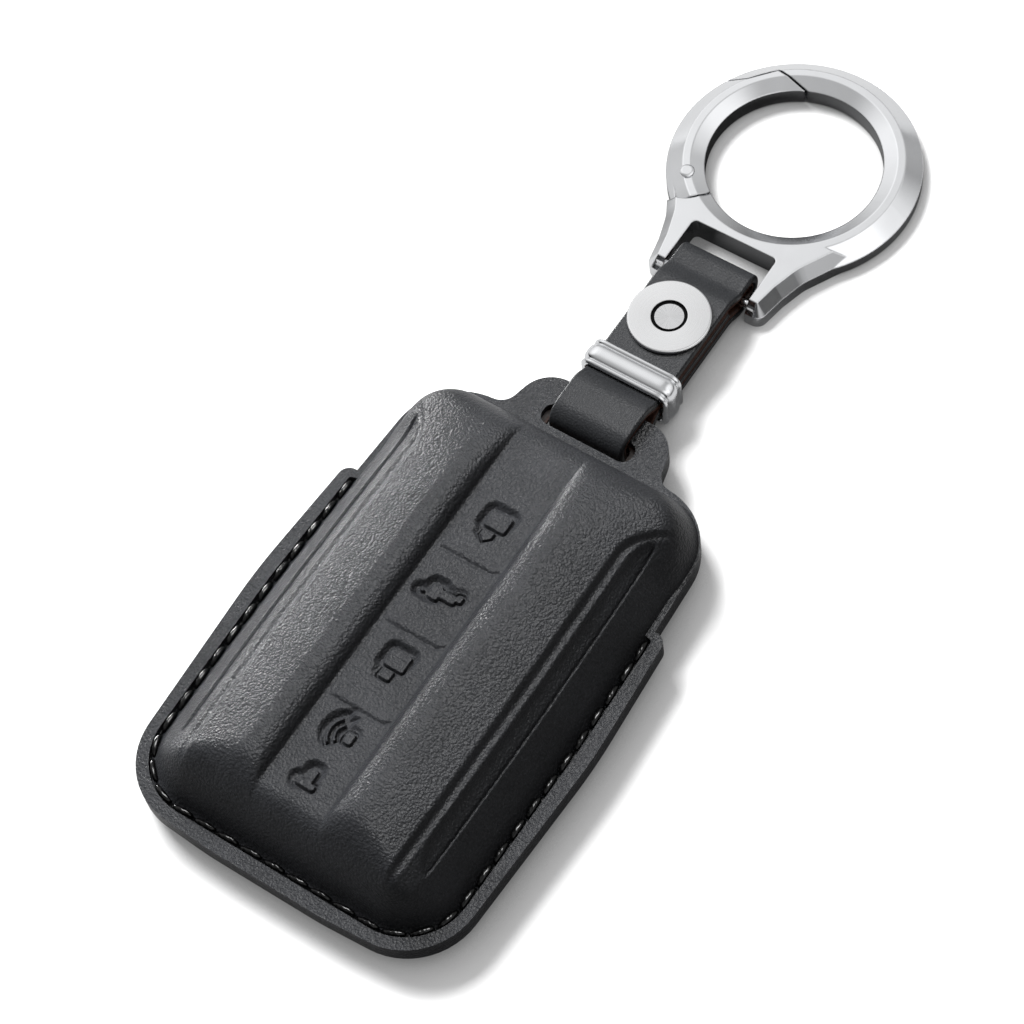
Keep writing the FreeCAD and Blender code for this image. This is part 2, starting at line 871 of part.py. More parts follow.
def keeper_outline(grow):
    """Cross-section of the keeper's inside, grown outwards."""
    _, top, _, bottom = strap_levels()
    out = size("keeper_clearance") + grow
    return rounded_box(size("strap_half_width") + out, bottom - out, top + out,
                       size("keeper_corner_radius") + grow)


def keeper_band(body, name, start, length, height):
    """One band of the keeper, with its own outer height, along the strap."""
    outer = keeper_outline(size("keeper_wall") + height)
    band = outline_sketch(body, "XZ_Plane", name, -start, outer, keeper_outline(ZERO))
    extrude(body, "Pad", band, length, turned=True)


def make_keeper():
    """Polished loop with a raised middle rib and a rim at each end."""
    body = new_body("strap_keeper")
    length = size("keeper_length")
    rim = size("keeper_rim_length")
    rib = size("keeper_rib_length")
    near = keeper_near()
    keeper_band(body, "keeper_band", near, length, ZERO)
    keeper_band(body, "keeper_near_rim", near, rim, size("keeper_rim_height"))
    keeper_band(body, "keeper_far_rim", near + length - rim, rim, size("keeper_rim_height"))
    keeper_band(body, "keeper_rib", near + (length - rib) * HALF, rib, size("keeper_rib_height"))


# Stud


def turned_piece(label, profile):
    """A piece turned about the stud's axis."""
    body = new_body(label)
    sketch = outline_sketch(body, "XZ_Plane", label + "_profile", ZERO, profile)
    revolve(body, sketch)
    bind(body, "Placement.Base.y", stud_y())
    return body


def make_stud_disc():
    """Dished disc, as wide as the strap, on the strap's face."""
    foot = size("strap_top")
    face = foot + size("disc_thickness")
    floor = foot + size("disc_floor")
    edge = size("disc_edge")
    radius = size("strap_half_width")
    dish = size("post_head_radius") + size("head_gap")
    shank_hole = size("post_radius") + size("post_clearance")
    turned_piece("stud_disc", [
        (shank_hole, foot),
        (radius, foot),
        (radius, face - edge),
        (radius - edge, face),
        (dish, face),
        (dish, floor),
        (shank_hole, floor),
    ])


def make_stud_post():
    """Button in the disc's dish, on a bored shank through the plies."""
    _, _, _, bottom = strap_levels()
    seat = size("strap_top") + size("disc_floor")
    crown = seat + size("post_head_height")
    turned_piece("stud_post", [
        (size("post_bore_radius"), bottom),
        (size("post_radius"), bottom),
        (size("post_radius"), seat),
        (size("post_head_radius"), seat),
        (size("post_head_radius"), crown),
        (ZERO, crown),
        (ZERO, bottom + size("post_bore_depth")),
        (size("post_bore_radius"), bottom + size("post_bore_depth")),
    ])


def make_stud_screw():
    """Slotted screw behind the strap."""
    _, _, _, bottom = strap_levels()
    face = bottom - size("screw_head_height")
    shank = size("post_bore_radius") - size("post_clearance")
    body = turned_piece("stud_screw", [
        (ZERO, face),
        (size("screw_head_radius"), face),
        (size("screw_head_radius"), bottom),
        (shank, bottom),
        (shank, bottom + size("post_bore_depth") - size("post_clearance") * 2),
        (ZERO, bottom + size("post_bore_depth") - size("post_clearance") * 2),
    ])
    reach = size("screw_head_radius") + size("cut_overrun")
    half = size("screw_slot_width") * HALF
    slot = outline_sketch(body, "XY_Plane", "screw_slot", face, flat_box(reach, -half, half))
    extrude(body, "Pocket", slot, size("screw_slot_depth"), turned=True)


# Ring


def ring_bore():
    """Radius of the ring's bore."""
    return size("ring_outer_radius") - size("ring_width")


def band_outer():
    """Outer radius of the ring's flat band."""
    return size("ring_outer_radius") - size("ring_band_inset")


def band_inner():
    """Inner radius of the ring's flat band."""
    return band_outer() - size("ring_band_width")


def ring_section():
    """Half section of the ring: upright walls with broad chamfers up to a flat band."""
    edge = size("ring_bottom_edge")
    bore = ring_bore()
    rim = size("ring_outer_radius")
    return [
        (bore + edge, ZERO),
        (rim - edge, ZERO),
        (rim, edge),
        (rim, size("ring_wall_height")),
        (band_outer(), size("ring_height")),
        (band_inner(), size("ring_height")),
        (bore, size("ring_bore_height")),
        (bore, edge),
    ]


def ring_body(label):
    """A whole turned ring about its own middle."""
    body = new_body(label)
    section = outline_sketch(body, "XZ_Plane", label + "_section", ZERO, ring_section())
    revolve(body, section)
    return body


def window_half():
    """Half width of the strap's window in the fork."""
    return size("strap_half_width") + size("window_side_room")


def window_far():
    """Distance of the window's closed end from the ring's middle."""
    return ring_bore() + size("window_wall")


def fork_tip():
    """Distance of the fork's tips from the ring's middle."""
    return window_far() + size("window_length") + size("fork_tip_margin")


def fork_outline():
    """Both arms of the fork, from their tips up into the ring."""
    half = window_half()
    tip = fork_tip()
    root = polar(size("ring_outer_radius") - size("ring_bottom_edge"), -size("fork_root_angle"))
    return mirrored([
        (half + size("fork_tip_wall"), -tip, size("fork_tip_radius")),
        (half + size("fork_arm_wall"), size("fork_arm_length") - tip),
        (half + size("fork_neck_wall"), size("fork_neck_length") - tip, size("fork_neck_radius")),
        root,
    ])


def pin_place():
    """The hinge pin's middle, in the middle of the ring's flat band."""
    track = (band_inner() + band_outer()) * HALF
    return polar(track, size("pin_angle"))


def gate_outline(gap):
    """The gate's stretch of the ring, with its nose end moved on by a gap."""
    lean = -gap * NOSE_GAP_LEAN_SHARE
    far = size("ring_outer_radius") * 2
    step = band_outer()
    nose = [
        polar(far, size("slit_outer_angle")),
        polar(step, size("step_back_angle")),
        polar(step, size("step_front_angle")),
        polar(ring_bore() - size("nose_overrun"), size("nose_inner_angle")),
    ]
    root = [(ZERO, ZERO), polar(far, size("pin_angle")), polar(far, size("gate_back_angle"))]
    return root + [(across + lean, along + gap) for across, along in nose]


def gate_zone(label, gap):
    """The space that the gate takes up, over the whole height of the ring."""
    zone = new_body(label)
    tall = size("ring_height") + size("cut_overrun") * 2
    sector = outline_sketch(zone, "XY_Plane", label + "_sector", -size("cut_overrun"), gate_outline(gap))
    extrude(zone, "Pad", sector, tall)
    knuckle = body_sketch(zone, "XY_Plane", label + "_knuckle", -size("cut_overrun"))
    add_circle(knuckle, pin_place(), size("knuckle_radius") + gap)
    extrude(zone, "Pad", knuckle, tall)
    return zone


def join(kind, label, shapes):
    """A boolean of whole pieces under a name."""
    feature = doc.addObject("Part::" + kind, label)
    feature.Label = label
    if kind == "Cut":
        feature.Base, feature.Tool = shapes
    else:
        feature.Shapes = shapes
    doc.recompute()
    return feature


def make_ring_blank():
    """Ring and fork in one casting, before the gate is parted off."""
    ring = ring_body("ring_blank")
    lower = outline_sketch(ring, "XY_Plane", "fork_lower", ZERO, fork_outline())
    extrude(ring, "Pad", lower, size("ring_wall_height"))
    upper = outline_sketch(ring, "XY_Plane", "fork_upper", size("ring_wall_height"), fork_outline())
    bevel = extrude(ring, "Pad", upper, size("ring_height") - size("ring_wall_height"))
    bind(bevel, "TaperAngle", -size("fork_draft"))
    bore = ring_bore()
    over = size("cut_overrun")
    above = size("ring_height") + over
    core = outline_sketch(ring, "XZ_Plane", "ring_core", ZERO, [
        (ZERO, -over),
        (bore, -over),
        (bore, size("ring_bore_height")),
        (band_inner(), size("ring_height")),
        (band_inner(), above),
        (ZERO, above),
    ])
    groove = ring.newObject("PartDesign::Groove", "ring_core_cut")
    groove.Profile = core
    groove.ReferenceAxis = (core, ["V_Axis"])
    groove.Angle = FULL_TURN
    window_outline = rounded_box(window_half(), -fork_tip() - over, -window_far(),
                                 size("window_corner_radius"))
    window = outline_sketch(ring, "XY_Plane", "fork_window", -over, window_outline)
    extrude(ring, "Pocket", window, above + over, turned=True)
    return ring


def tongue_strip(half_width, reach, swing):
    """Flat strip from the hinge pin towards the frame, fanned out on the bore's side by a swing."""
    middle = pin_place()
    quarter = Size(QUARTER_TURN, str(QUARTER_TURN))
    along = size("pin_angle") + quarter
    outer = polar(half_width, along - quarter)
    inner = polar(half_width, along + quarter)
    swung = polar(half_width, along + quarter + swing)
    run = polar(reach, along)
    swung_run = polar(reach, along + swing)
    steps = [outer, add(outer, run), add(inner, run)]
    if swing.value:
        steps += [add(swung, swung_run), swung]
    else:
        steps.append(inner)
    return [add(middle, step) for step in steps]


def add(first, second):
    """Sum of two places."""
    return first[0] + second[0], first[1] + second[1]


def pin_disc(body, kind, name, height, radius, length):
    """A round pad or pocket about the hinge pin, upwards from a height."""
    sketch = body_sketch(body, "XY_Plane", name, height)
    add_circle(sketch, pin_place(), radius)
    extrude(body, kind, sketch, length, turned=(kind == "Pocket"))


def make_tongue():
    """Hinge tongue with an eye for the pin."""
    body = new_body("hinge_tongue")
    low = size("tongue_bottom")
    thick = size("tongue_thickness")
    half = size("tongue_half_width")
    reach = size("knuckle_radius") + size("gate_gap") + size("tongue_root")
    strip = outline_sketch(body, "XY_Plane", "tongue_strip", low, tongue_strip(half, reach, ZERO))
    extrude(body, "Pad", strip, thick)
    pin_disc(body, "Pad", "tongue_eye", low, half, thick)
    pin_disc(body, "Pocket", "tongue_hole", low, size("pin_radius"), thick)
    return body


def make_gate_cuts():
    """Slot that the tongue swings in, with room for the spring, and the pin's hole."""
    body = new_body("gate_cuts")
    clear = size("tongue_clearance")
    low = size("tongue_bottom") - clear
    high = size("tongue_bottom") + size("tongue_thickness") + size("spring_room") + clear
    half = size("tongue_half_width") + clear * 2
    reach = size("knuckle_radius") + size("cut_overrun")
    slot = outline_sketch(body, "XY_Plane", "gate_slot", low, tongue_strip(half, reach, size("gate_opening")))
    extrude(body, "Pad", slot, high - low)
    pin_disc(body, "Pad", "gate_slot_eye", low, half, high - low)
    over = size("cut_overrun")
    pin_disc(body, "Pad", "gate_hole", -over, size("pin_radius") + size("pin_clearance"),
             size("ring_height") + over * 2)
    return body


def bar_body(label):
    """Round bar across the fork, about the ring's own middle."""
    body = new_body(label)
    sketch = body_sketch(body, "YZ_Plane", label + "_circle")
    add_circle(sketch, (bar_y() - ring_y(), size("bar_height")), size("bar_radius"))
    extrude(body, "Pad", sketch, (window_half() + size("bar_seat_depth")) * 2, symmetric=True)
    return body


def make_ring_frame():
    """Fixed ring with its fork, the gate's gap, the hinge tongue and the bar's seats."""
    parted = join("Cut", "ring_parted", [make_ring_blank(), gate_zone("gate_gap_zone", size("gate_gap"))])
    whole = join("MultiFuse", "ring_hinged", [parted, make_tongue()])
    frame = join("Cut", "ring_frame", [whole, bar_body("bar_seats")])
    bind(frame, "Placement.Base.y", ring_y())


def make_crossbar():
    """Thin bar that the strap is folded round."""
    bar = bar_body("crossbar")
    bind(bar, "Placement.Base.y", ring_y())


def make_ring_gate():
    """Swinging stretch of the ring, forked over the hinge tongue."""
    arc = join("MultiCommon", "gate_blank", [ring_body("gate_ring"), gate_zone("gate_own_zone", ZERO)])
    gate = join("Cut", "ring_gate", [arc, make_gate_cuts()])
    bind(gate, "Placement.Base.y", ring_y())


def set_on_pin(piece):
    """Move a piece that is modelled about the pin's axis to its place in the ring."""
    across, along = pin_place()
    bind(piece, "Placement.Base.x", across)
    bind(piece, "Placement.Base.y", along + ring_y())


def make_gate_pin():
    """Hinge pin with a low head."""
    pin = new_body("gate_pin")
    seat = size("ring_height")
    head = size("pin_head_radius")
    crown = seat + size("pin_head_height")
    profile = outline_sketch(pin, "XZ_Plane", "gate_pin_profile", ZERO, [
        (ZERO, ZERO),
        (size("pin_radius"), ZERO),
        (size("pin_radius"), seat),
        (head, seat),
        (head, seat + size("pin_head_height") * HALF),
        (size("pin_radius"), crown),
        (ZERO, crown),
    ])
    revolve(pin, profile)
    set_on_pin(pin)


def spring_sector(label, radius):
    """Part of a flat cylinder, as far round as the spring's bend goes."""
    sector = doc.addObject("Part::Cylinder", label)
    bind(sector, "Radius", radius)
    bind(sector, "Height", size("spring_strip_width"))
    bind(sector, "Angle", size("spring_wrap"))
    return sector


def spring_leg(label, turn, corner):
    """Straight end of the spring's strip, at a turn of its bend."""
    leg = doc.addObject("Part::Box", label)
    bind(leg, "Length", size("spring_strip_thickness"))
    bind(leg, "Width", size("spring_leg"))
    bind(leg, "Height", size("spring_strip_width"))
    leg.Placement.Rotation = FreeCAD.Rotation(ALONG_Z, turn.value)
    bind(leg, "Placement.Base.x", corner[0])
    bind(leg, "Placement.Base.y", corner[1])
    return leg


def make_gate_spring():
    """Hairpin spring of flat strip, bent about the pin, with a straight leg at each end."""
    inside = size("spring_bend_radius") - size("spring_strip_thickness") * HALF
    outside = inside + size("spring_strip_thickness")
    wrap = size("spring_wrap")
    sectors = [spring_sector("spring_outer", outside), spring_sector("spring_inner", inside)]
    bend = join("Cut", "spring_bend", sectors)
    near = spring_leg("spring_near_leg", ZERO, (inside, -size("spring_leg")))
    far = spring_leg("spring_far_leg", wrap, polar(inside, wrap))
    spring = join("MultiFuse", "gate_spring", [bend, near, far])
    spring.Placement.Rotation = FreeCAD.Rotation(ALONG_Z, size("pin_angle").value)
    set_on_pin(spring)
    middle = size("tongue_bottom") + size("tongue_thickness") + size("spring_room") * HALF
    bind(spring, "Placement.Base.z", middle - size("spring_strip_width") * HALF)


# Build and write every piece

MAKERS = [
    make_front_cover, make_back_cover, make_linings, make_tab_lining,
    make_seam_threads, make_strap, make_keeper, make_stud_disc, make_stud_post, make_stud_screw,
    make_ring_frame, make_crossbar, make_ring_gate, make_gate_pin, make_gate_spring,
]

NODES = [
    "front_cover", "back_cover", "front_lining", "back_lining", "tab_lining", "seam_thread_front",
    "seam_thread_back", "strap", "strap_lining", "strap_keeper", "stud_disc", "stud_post", "stud_screw",
    "ring_frame", "crossbar", "ring_gate", "gate_pin", "gate_spring",
]


def write_pieces():
    """Check that every feature is sound, then write each piece to its own file."""
    for thing in doc.Objects:
        if {"Invalid", "Error"} & set(thing.State):
            raise RuntimeError("%s: %s" % (thing.Label, thing.State))
    os.makedirs("parts", exist_ok=True)
    for label in NODES:
        piece = doc.getObjectsByLabel(label)[0]
        shape = piece.Shape
        if shape.isNull() or not shape.isValid():
            raise RuntimeError("%s has no valid shape" % label)
        shape.exportStep("parts/%s.step" % label)
        box = shape.BoundBox
        print("%-18s solids %2d volume %9.2f box %7.2f %7.2f %7.2f to %7.2f %7.2f %7.2f" % (
            label, len(shape.Solids), shape.Volume, box.XMin, box.YMin, box.ZMin, box.XMax, box.YMax, box.ZMax))


for make in MAKERS:
    make()
doc.recompute()
write_pieces()
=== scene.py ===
"""Looks of the key fob cover: moulded leather shells, a sewn edge, a strap and a sprung ring."""

import json
import logging
import math
from dataclasses import dataclass
from enum import Enum, auto
from functools import cache
from typing import Callable, Iterable, Sequence

import bmesh
import bpy
from mathutils import Matrix, Vector

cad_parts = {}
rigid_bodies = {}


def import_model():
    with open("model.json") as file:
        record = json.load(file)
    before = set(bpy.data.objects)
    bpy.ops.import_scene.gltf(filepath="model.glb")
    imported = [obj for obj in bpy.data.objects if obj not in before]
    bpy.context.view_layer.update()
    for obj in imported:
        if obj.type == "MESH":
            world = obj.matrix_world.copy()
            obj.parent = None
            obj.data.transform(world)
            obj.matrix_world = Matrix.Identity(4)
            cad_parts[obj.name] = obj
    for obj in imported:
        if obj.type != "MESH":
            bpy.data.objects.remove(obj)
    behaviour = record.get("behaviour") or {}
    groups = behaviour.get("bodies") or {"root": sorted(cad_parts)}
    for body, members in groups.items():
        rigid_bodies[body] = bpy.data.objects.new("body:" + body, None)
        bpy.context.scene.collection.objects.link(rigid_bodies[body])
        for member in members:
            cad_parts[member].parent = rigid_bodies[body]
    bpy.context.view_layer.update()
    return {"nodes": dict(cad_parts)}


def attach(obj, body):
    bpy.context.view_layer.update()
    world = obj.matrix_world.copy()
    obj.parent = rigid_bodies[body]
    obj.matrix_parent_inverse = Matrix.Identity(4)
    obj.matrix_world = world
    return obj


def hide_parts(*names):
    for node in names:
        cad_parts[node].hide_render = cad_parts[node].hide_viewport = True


MM = 0.001
STUD_Y = 61.3
LOG = logging.getLogger("key_fob_cover")

Point2 = tuple[float, float]
Point3 = tuple[float, float, float]
Corner = tuple[float, float, float]
Span = tuple[float, float, float, float]
Inputs = dict[str | int, object]

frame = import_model()


class Body(Enum):
    """The bodies of the frame that carry new pieces."""

    COVER = "cover"
    STRAP = "strap_loop"
    KEEPER = "keeper"


# Plain geometry, in millimetres


def clamp(value: float, low: float = 0.0, high: float = 1.0) -> float:
    """Keep a value between two limits."""
    return max(low, min(high, value))


def ease(value: float) -> float:
    """Smooth step from 0 to 1 while a value goes from 0 to 1."""
    t = clamp(value)
    return t * t * (3.0 - 2.0 * t)


def soft_min(a: float, b: float, width: float) -> float:
    """The smaller of two heights, blended where they differ by less than a width."""
    h = max(width - abs(a - b), 0.0) / width
    return min(a, b) - h * h * width * 0.25


class Profile:
    """A line through points whose corners are rounded by a moving mean."""

    def __init__(self, points: Sequence[Point2], window: float) -> None:
        """Store the line.

        Args:
            points: places and heights in rising order of place.
            window: width of the moving mean.
        """
        self.points = list(points)
        self.window = window
        self.sums = [0.0]
        for (x0, z0), (x1, z1) in zip(self.points, self.points[1:]):
            self.sums.append(self.sums[-1] + (x1 - x0) * (z0 + z1) * 0.5)

    def area(self, place: float) -> float:
        """Area under the line from its first point to a place.

        Args:
            place: the place.

        Returns:
            The area, carried on level past both ends.
        """
        pts = self.points
        if place <= pts[0][0]:
            return (place - pts[0][0]) * pts[0][1]
        for start, (x0, z0), (x1, z1) in zip(self.sums, pts, pts[1:]):
            if place <= x1:
                run = place - x0
                rise = (z1 - z0) * run / (x1 - x0)
                return start + run * (z0 + rise * 0.5)
        return self.sums[-1] + (place - pts[-1][0]) * pts[-1][1]

    def at(self, place: float) -> float:
        """Height of the rounded line at a place."""
        half = self.window * 0.5
        return (self.area(place + half) - self.area(place - half)) / self.window


def mirrored(half: Sequence[Corner]) -> list[Corner]:
    """All corners of an outline from those of its right half."""
    return list(half) + [(-x, y, r) for x, y, r in reversed(half)]


def box_corners(half: float, low: float, high: float, radius: float) -> list[Corner]:
    """Corners of a box that is even about the middle line."""
    return mirrored([(half, low, radius), (half, high, radius)])


def rounded_loop(corners: Sequence[Corner], step: float, closed: bool = True) -> list[Point2]:
    """Points along an outline with rounded corners.

    Args:
        corners: corner places with their radii.
        step: greatest distance between points.
        closed: whether the outline returns to its start.

    Returns:
        The points in order.
    """
    same = 1e-4
    arc_step = 0.16
    count = len(corners)
    path: list[Vector] = []
    for i, (x, y, r) in enumerate(corners):
        here = Vector((x, y))
        if not closed and i in (0, count - 1):
            path.append(here)
            continue
        enter = (here - Vector(corners[i - 1][:2])).normalized()
        leave = (Vector(corners[(i + 1) % count][:2]) - here).normalized()
        turn = math.acos(clamp(enter.dot(leave), -1.0, 1.0))
        if r <= 0.0 or turn < same:
            path.append(here)
            continue
        side = 1.0 if enter.x * leave.y - enter.y * leave.x > 0.0 else -1.0
        start = here - enter * (r * math.tan(turn * 0.5))
        centre = start + Vector((-enter.y, enter.x)) * side * r
        steps = max(3, math.ceil(r * turn / step), math.ceil(turn / arc_step))
        for k in range(steps + 1):
            path.append(centre + Matrix.Rotation(side * turn * k / steps, 2) @ (start - centre))
    points: list[Point2] = []
    ends = path + path[:1] if closed else path
    for a, b in zip(ends, ends[1:]):
        pieces = max(1, math.ceil((b - a).length / step))
        for k in range(pieces):
            spot = a.lerp(b, k / pieces)
            if not points or math.dist(points[-1], spot) > same:
                points.append((spot.x, spot.y))
    if not closed:
        points.append((path[-1].x, path[-1].y))
    elif math.dist(points[0], points[-1]) < same:
        points.pop()
    return points


def walk(path: Sequence[Vector], distance: float) -> tuple[Vector, Vector]:
    """Place and heading at a distance along a line.

    Args:
        path: points of the line.
        distance: distance from its start.

    Returns:
        The place and the unit heading.
    """
    left = distance
    for a, b in zip(path, path[1:]):
        run = (b - a).length
        if left <= run:
            return a.lerp(b, left / run), (b - a) / run
        left -= run
    return path[-1].copy(), (path[-1] - path[-2]).normalized()


# Finishes

# Sockets of a node that maps one range of values to another, and where most noise values lie
RANGE = ("Value", "From Min", "From Max", "To Min", "To Max")
NOISE_SPREAD = (0.3, 0.7)
# Sockets of a node that mixes two colours
FIRST_COLOUR, SECOND_COLOUR, MIXED_COLOUR = 6, 7, 2
WHITE = (1.0, 1.0, 1.0, 1.0)


def srgb(code: str) -> Span:
    """Linear colour of an sRGB hex code.

    Args:
        code: six hex digits after a hash sign.

    Returns:
        Linear red, green, blue and full alpha.
    """
    channels = [int(code[i:i + 2], 16) / 255.0 for i in (1, 3, 5)]
    linear = [c / 12.92 if c <= 0.04045 else ((c + 0.055) / 1.055) ** 2.4 for c in channels]
    return linear[0], linear[1], linear[2], 1.0


class Nodes:
    """A node tree that is put together one node at a time."""

    def __init__(self, tree: bpy.types.NodeTree) -> None:
        """Start with an empty tree."""
        self.tree = tree
        tree.nodes.clear()

    def add(self, kind: str, inputs: Inputs | None = None,
            **settings: object) -> bpy.types.bpy_prop_collection:
        """Add a node with its settings and links.

        Args:
            kind: node type, without the words that all types begin with.
            inputs: for each input socket, a constant or an output that feeds it.
            **settings: properties of the node.

        Returns:
            The node's outputs.
        """
        node = self.tree.nodes.new("ShaderNode" + kind)
        for key, value in settings.items():
            setattr(node, key, value)
        for key, value in (inputs or {}).items():
            if isinstance(value, bpy.types.NodeSocket):
                self.tree.links.new(value, node.inputs[key])
            else:
                node.inputs[key].default_value = value
        return node.outputs


def make_material(name: str, surface: Callable[[Nodes], Inputs]) -> bpy.types.Material:
    """Make a material round a principled surface.

    Args:
        name: name of the material.
        surface: adds nodes and gives the inputs of the surface.

    Returns:
        The material.
    """
    material = bpy.data.materials.new(name)
    material.use_nodes = True
    nodes = Nodes(material.node_tree)
    coat = nodes.add("BsdfPrincipled", surface(nodes))
    nodes.add("OutputMaterial", {"Surface": coat["BSDF"]})
    return material


@dataclass(frozen=True)
class Finish:
    """What all finishes have: two tones and two ends of gloss."""

    name: str
    dark: str
    light: str
    rough_low: float
    rough_high: float

    def varied(self, nodes: Nodes, tone: bpy.types.NodeSocket, gloss: bpy.types.NodeSocket,
               spread: Point2 = NOISE_SPREAD) -> Inputs:
        """Colour and roughness that vary over the surface.

        Args:
            nodes: the material's nodes.
            tone: share of the light tone.
            gloss: value that drives the roughness.
            spread: range of that value.

        Returns:
            Inputs of the principled surface.
        """
        colour = nodes.add("Mix", {"Factor": tone, FIRST_COLOUR: srgb(self.dark),
                                   SECOND_COLOUR: srgb(self.light)}, data_type="RGBA")
        limits = (gloss, *spread, self.rough_low, self.rough_high)
        rough = nodes.add("MapRange", dict(zip(RANGE, limits)))
        return {"Base Color": colour[MIXED_COLOUR], "Roughness": rough["Result"]}

    def surface(self, nodes: Nodes) -> Inputs:
        """Inputs of the principled surface; each kind of finish has its own."""
        raise NotImplementedError

    @cache
    def build(self) -> bpy.types.Material:
        """Make the material, once."""
        return make_material(self.name, self.surface)


@dataclass(frozen=True)
class LeatherFinish(Finish):
    """Leather: the size and depth of its pebbles, in metres, and its sheen."""

    grain: float
    depth: float
    sheen: float
    warp_scale: float = 0.6
    warp_reach: float = 1.1
    pore_size: float = 0.45
    pore_share: float = 0.6
    patch: float = 0.009
    patch_tones: Span = (*NOISE_SPREAD, 0.1, 0.6)
    pebble_tones: Span = (-0.6, 0.4, -0.2, 0.4)

    def surface(self, nodes: Nodes) -> Inputs:
        """Uneven pebbles with fine pores, and tones in broad patches.

        Args:
            nodes: the material's nodes.

        Returns:
            Inputs of the principled surface.
        """
        place = nodes.add("TexCoord")["Object"]
        warp = nodes.add("TexNoise", {"Vector": place, "Scale": self.warp_scale / self.grain,
                                      "Detail": 2.0})
        nudge = nodes.add("VectorMath", {0: warp["Color"], "Scale": self.warp_reach * self.grain},
                          operation="SCALE")
        moved = nodes.add("VectorMath", {0: place, 1: nudge[0]}, operation="ADD")
        pebbles = nodes.add("TexVoronoi", {"Vector": moved[0], "Scale": 1.0 / self.grain,
                                           "Smoothness": 0.35}, feature="SMOOTH_F1")
        pore = self.pore_size * self.grain
        pores = nodes.add("TexNoise", {"Vector": place, "Scale": 1.0 / pore, "Detail": 3.0})["Fac"]
        fine = nodes.add("Math", {0: pores, 1: self.pore_share}, operation="MULTIPLY")
        relief = nodes.add("Math", {0: fine[0], 1: pebbles["Distance"]}, operation="SUBTRACT")[0]
        patches = nodes.add("TexNoise", {"Vector": place, "Scale": 1.0 / self.patch, "Detail": 3.0})
        broad = nodes.add("MapRange", dict(zip(RANGE, (patches["Fac"], *self.patch_tones))))
        close = nodes.add("MapRange", dict(zip(RANGE, (relief, *self.pebble_tones))))
        tone = nodes.add("Math", {0: broad["Result"], 1: close["Result"]}, operation="ADD")
        bump = nodes.add("Bump", {"Height": relief, "Strength": 1.0, "Distance": self.depth})
        return {**self.varied(nodes, tone[0], pores), "Specular IOR Level": self.sheen,
                "Normal": bump["Normal"]}


@dataclass(frozen=True)
class MetalFinish(Finish):
    """Metal: the size of its clouds and the rounding of its edges, in metres."""

    patch: float
    edge: float = 0.0003

    def surface(self, nodes: Nodes) -> Inputs:
        """Faint clouds and softened edges.

        Args:
            nodes: the material's nodes.

        Returns:
            Inputs of the principled surface.
        """
        place = nodes.add("TexCoord")["Object"]
        cloud = nodes.add("TexNoise", {"Vector": place, "Scale": 1.0 / self.patch, "Detail": 4.0})
        edge = nodes.add("Bevel", {"Radius": self.edge}, samples=6)
        return {**self.varied(nodes, cloud["Fac"], cloud["Fac"]), "Metallic": 1.0,
                "Normal": edge["Normal"]}


class Brushing(Enum):
    """Ways of brushing on a lathe, with the closeness of the streaks."""

    RAYS = 9.0
    RINGS = 9000.0


@dataclass(frozen=True)
class TurnedFinish(Finish):
    """Metal brushed on a lathe, about the middle of the stud."""

    brushing: Brushing
    middle: Point3 = (0.0, STUD_Y * MM, 0.0)
    stretch: float = 0.75

    def surface(self, nodes: Nodes) -> Inputs:
        """Fine streaks that run out from, or round, the middle.

        Args:
            nodes: the material's nodes.

        Returns:
            Inputs of the principled surface.
        """
        place = nodes.add("TexCoord")["Object"]
        offset = nodes.add("VectorMath", {0: place, 1: self.middle}, operation="SUBTRACT")
        parts = nodes.add("SeparateXYZ", {0: offset[0]})
        if self.brushing is Brushing.RAYS:
            streak = nodes.add("Math", {0: parts["Y"], 1: parts["X"]}, operation="ARCTAN2")[0]
        else:
            flat = nodes.add("CombineXYZ", {"X": parts["X"], "Y": parts["Y"]})
            streak = nodes.add("VectorMath", {0: flat[0]}, operation="LENGTH")["Value"]
        noise = nodes.add("TexNoise", {"W": streak, "Scale": self.brushing.value, "Detail": 5.0},
                          noise_dimensions="1D")
        turn = nodes.add("Tangent", direction_type="RADIAL", axis="Z")
        return {**self.varied(nodes, noise["Fac"], noise["Fac"]), "Metallic": 1.0,
                "Anisotropic": self.stretch, "Tangent": turn[0]}


@dataclass(frozen=True)
class ThreadFinish(Finish):
    """Waxed thread: the width of its strands and the depth between them, in metres."""

    strand: float
    depth: float
    sheen: float

    def surface(self, nodes: Nodes) -> Inputs:
        """The slanting lay of the strands.

        Args:
            nodes: the material's nodes.

        Returns:
            Inputs of the principled surface.
        """
        place = nodes.add("TexCoord")["Object"]
        lay = nodes.add("TexWave", {"Vector": place, "Scale": 0.3 / self.strand, "Distortion": 1.5,
                                    "Detail": 1.0}, bands_direction="DIAGONAL")["Fac"]
        bump = nodes.add("Bump", {"Height": lay, "Strength": 0.6, "Distance": self.depth})
        return {**self.varied(nodes, lay, lay, (0.0, 1.0)), "Specular IOR Level": self.sheen,
                "Normal": bump["Normal"]}


# Black leather pressed in a mould: the eye sees a matte charcoal with a fine pebble grain.
MOULDED_LEATHER = LeatherFinish(
    "moulded_leather_pebble_grain", "#262729", "#3a3b3e", 0.29, 0.39, 0.00036, 0.0001, 0.1)
# The same hide on the back, with the same grain.
BACK_LEATHER = LeatherFinish(
    "back_leather_pebble_grain", "#262729", "#3a3b3e", 0.29, 0.39, 0.00036, 0.0001, 0.1)
# Strap leather: smoother, with a closer and lower grain.
STRAP_LEATHER = LeatherFinish(
    "strap_leather_smooth_grain", "#252628", "#353638", 0.36, 0.48, 0.0003, 0.00005, 0.1)
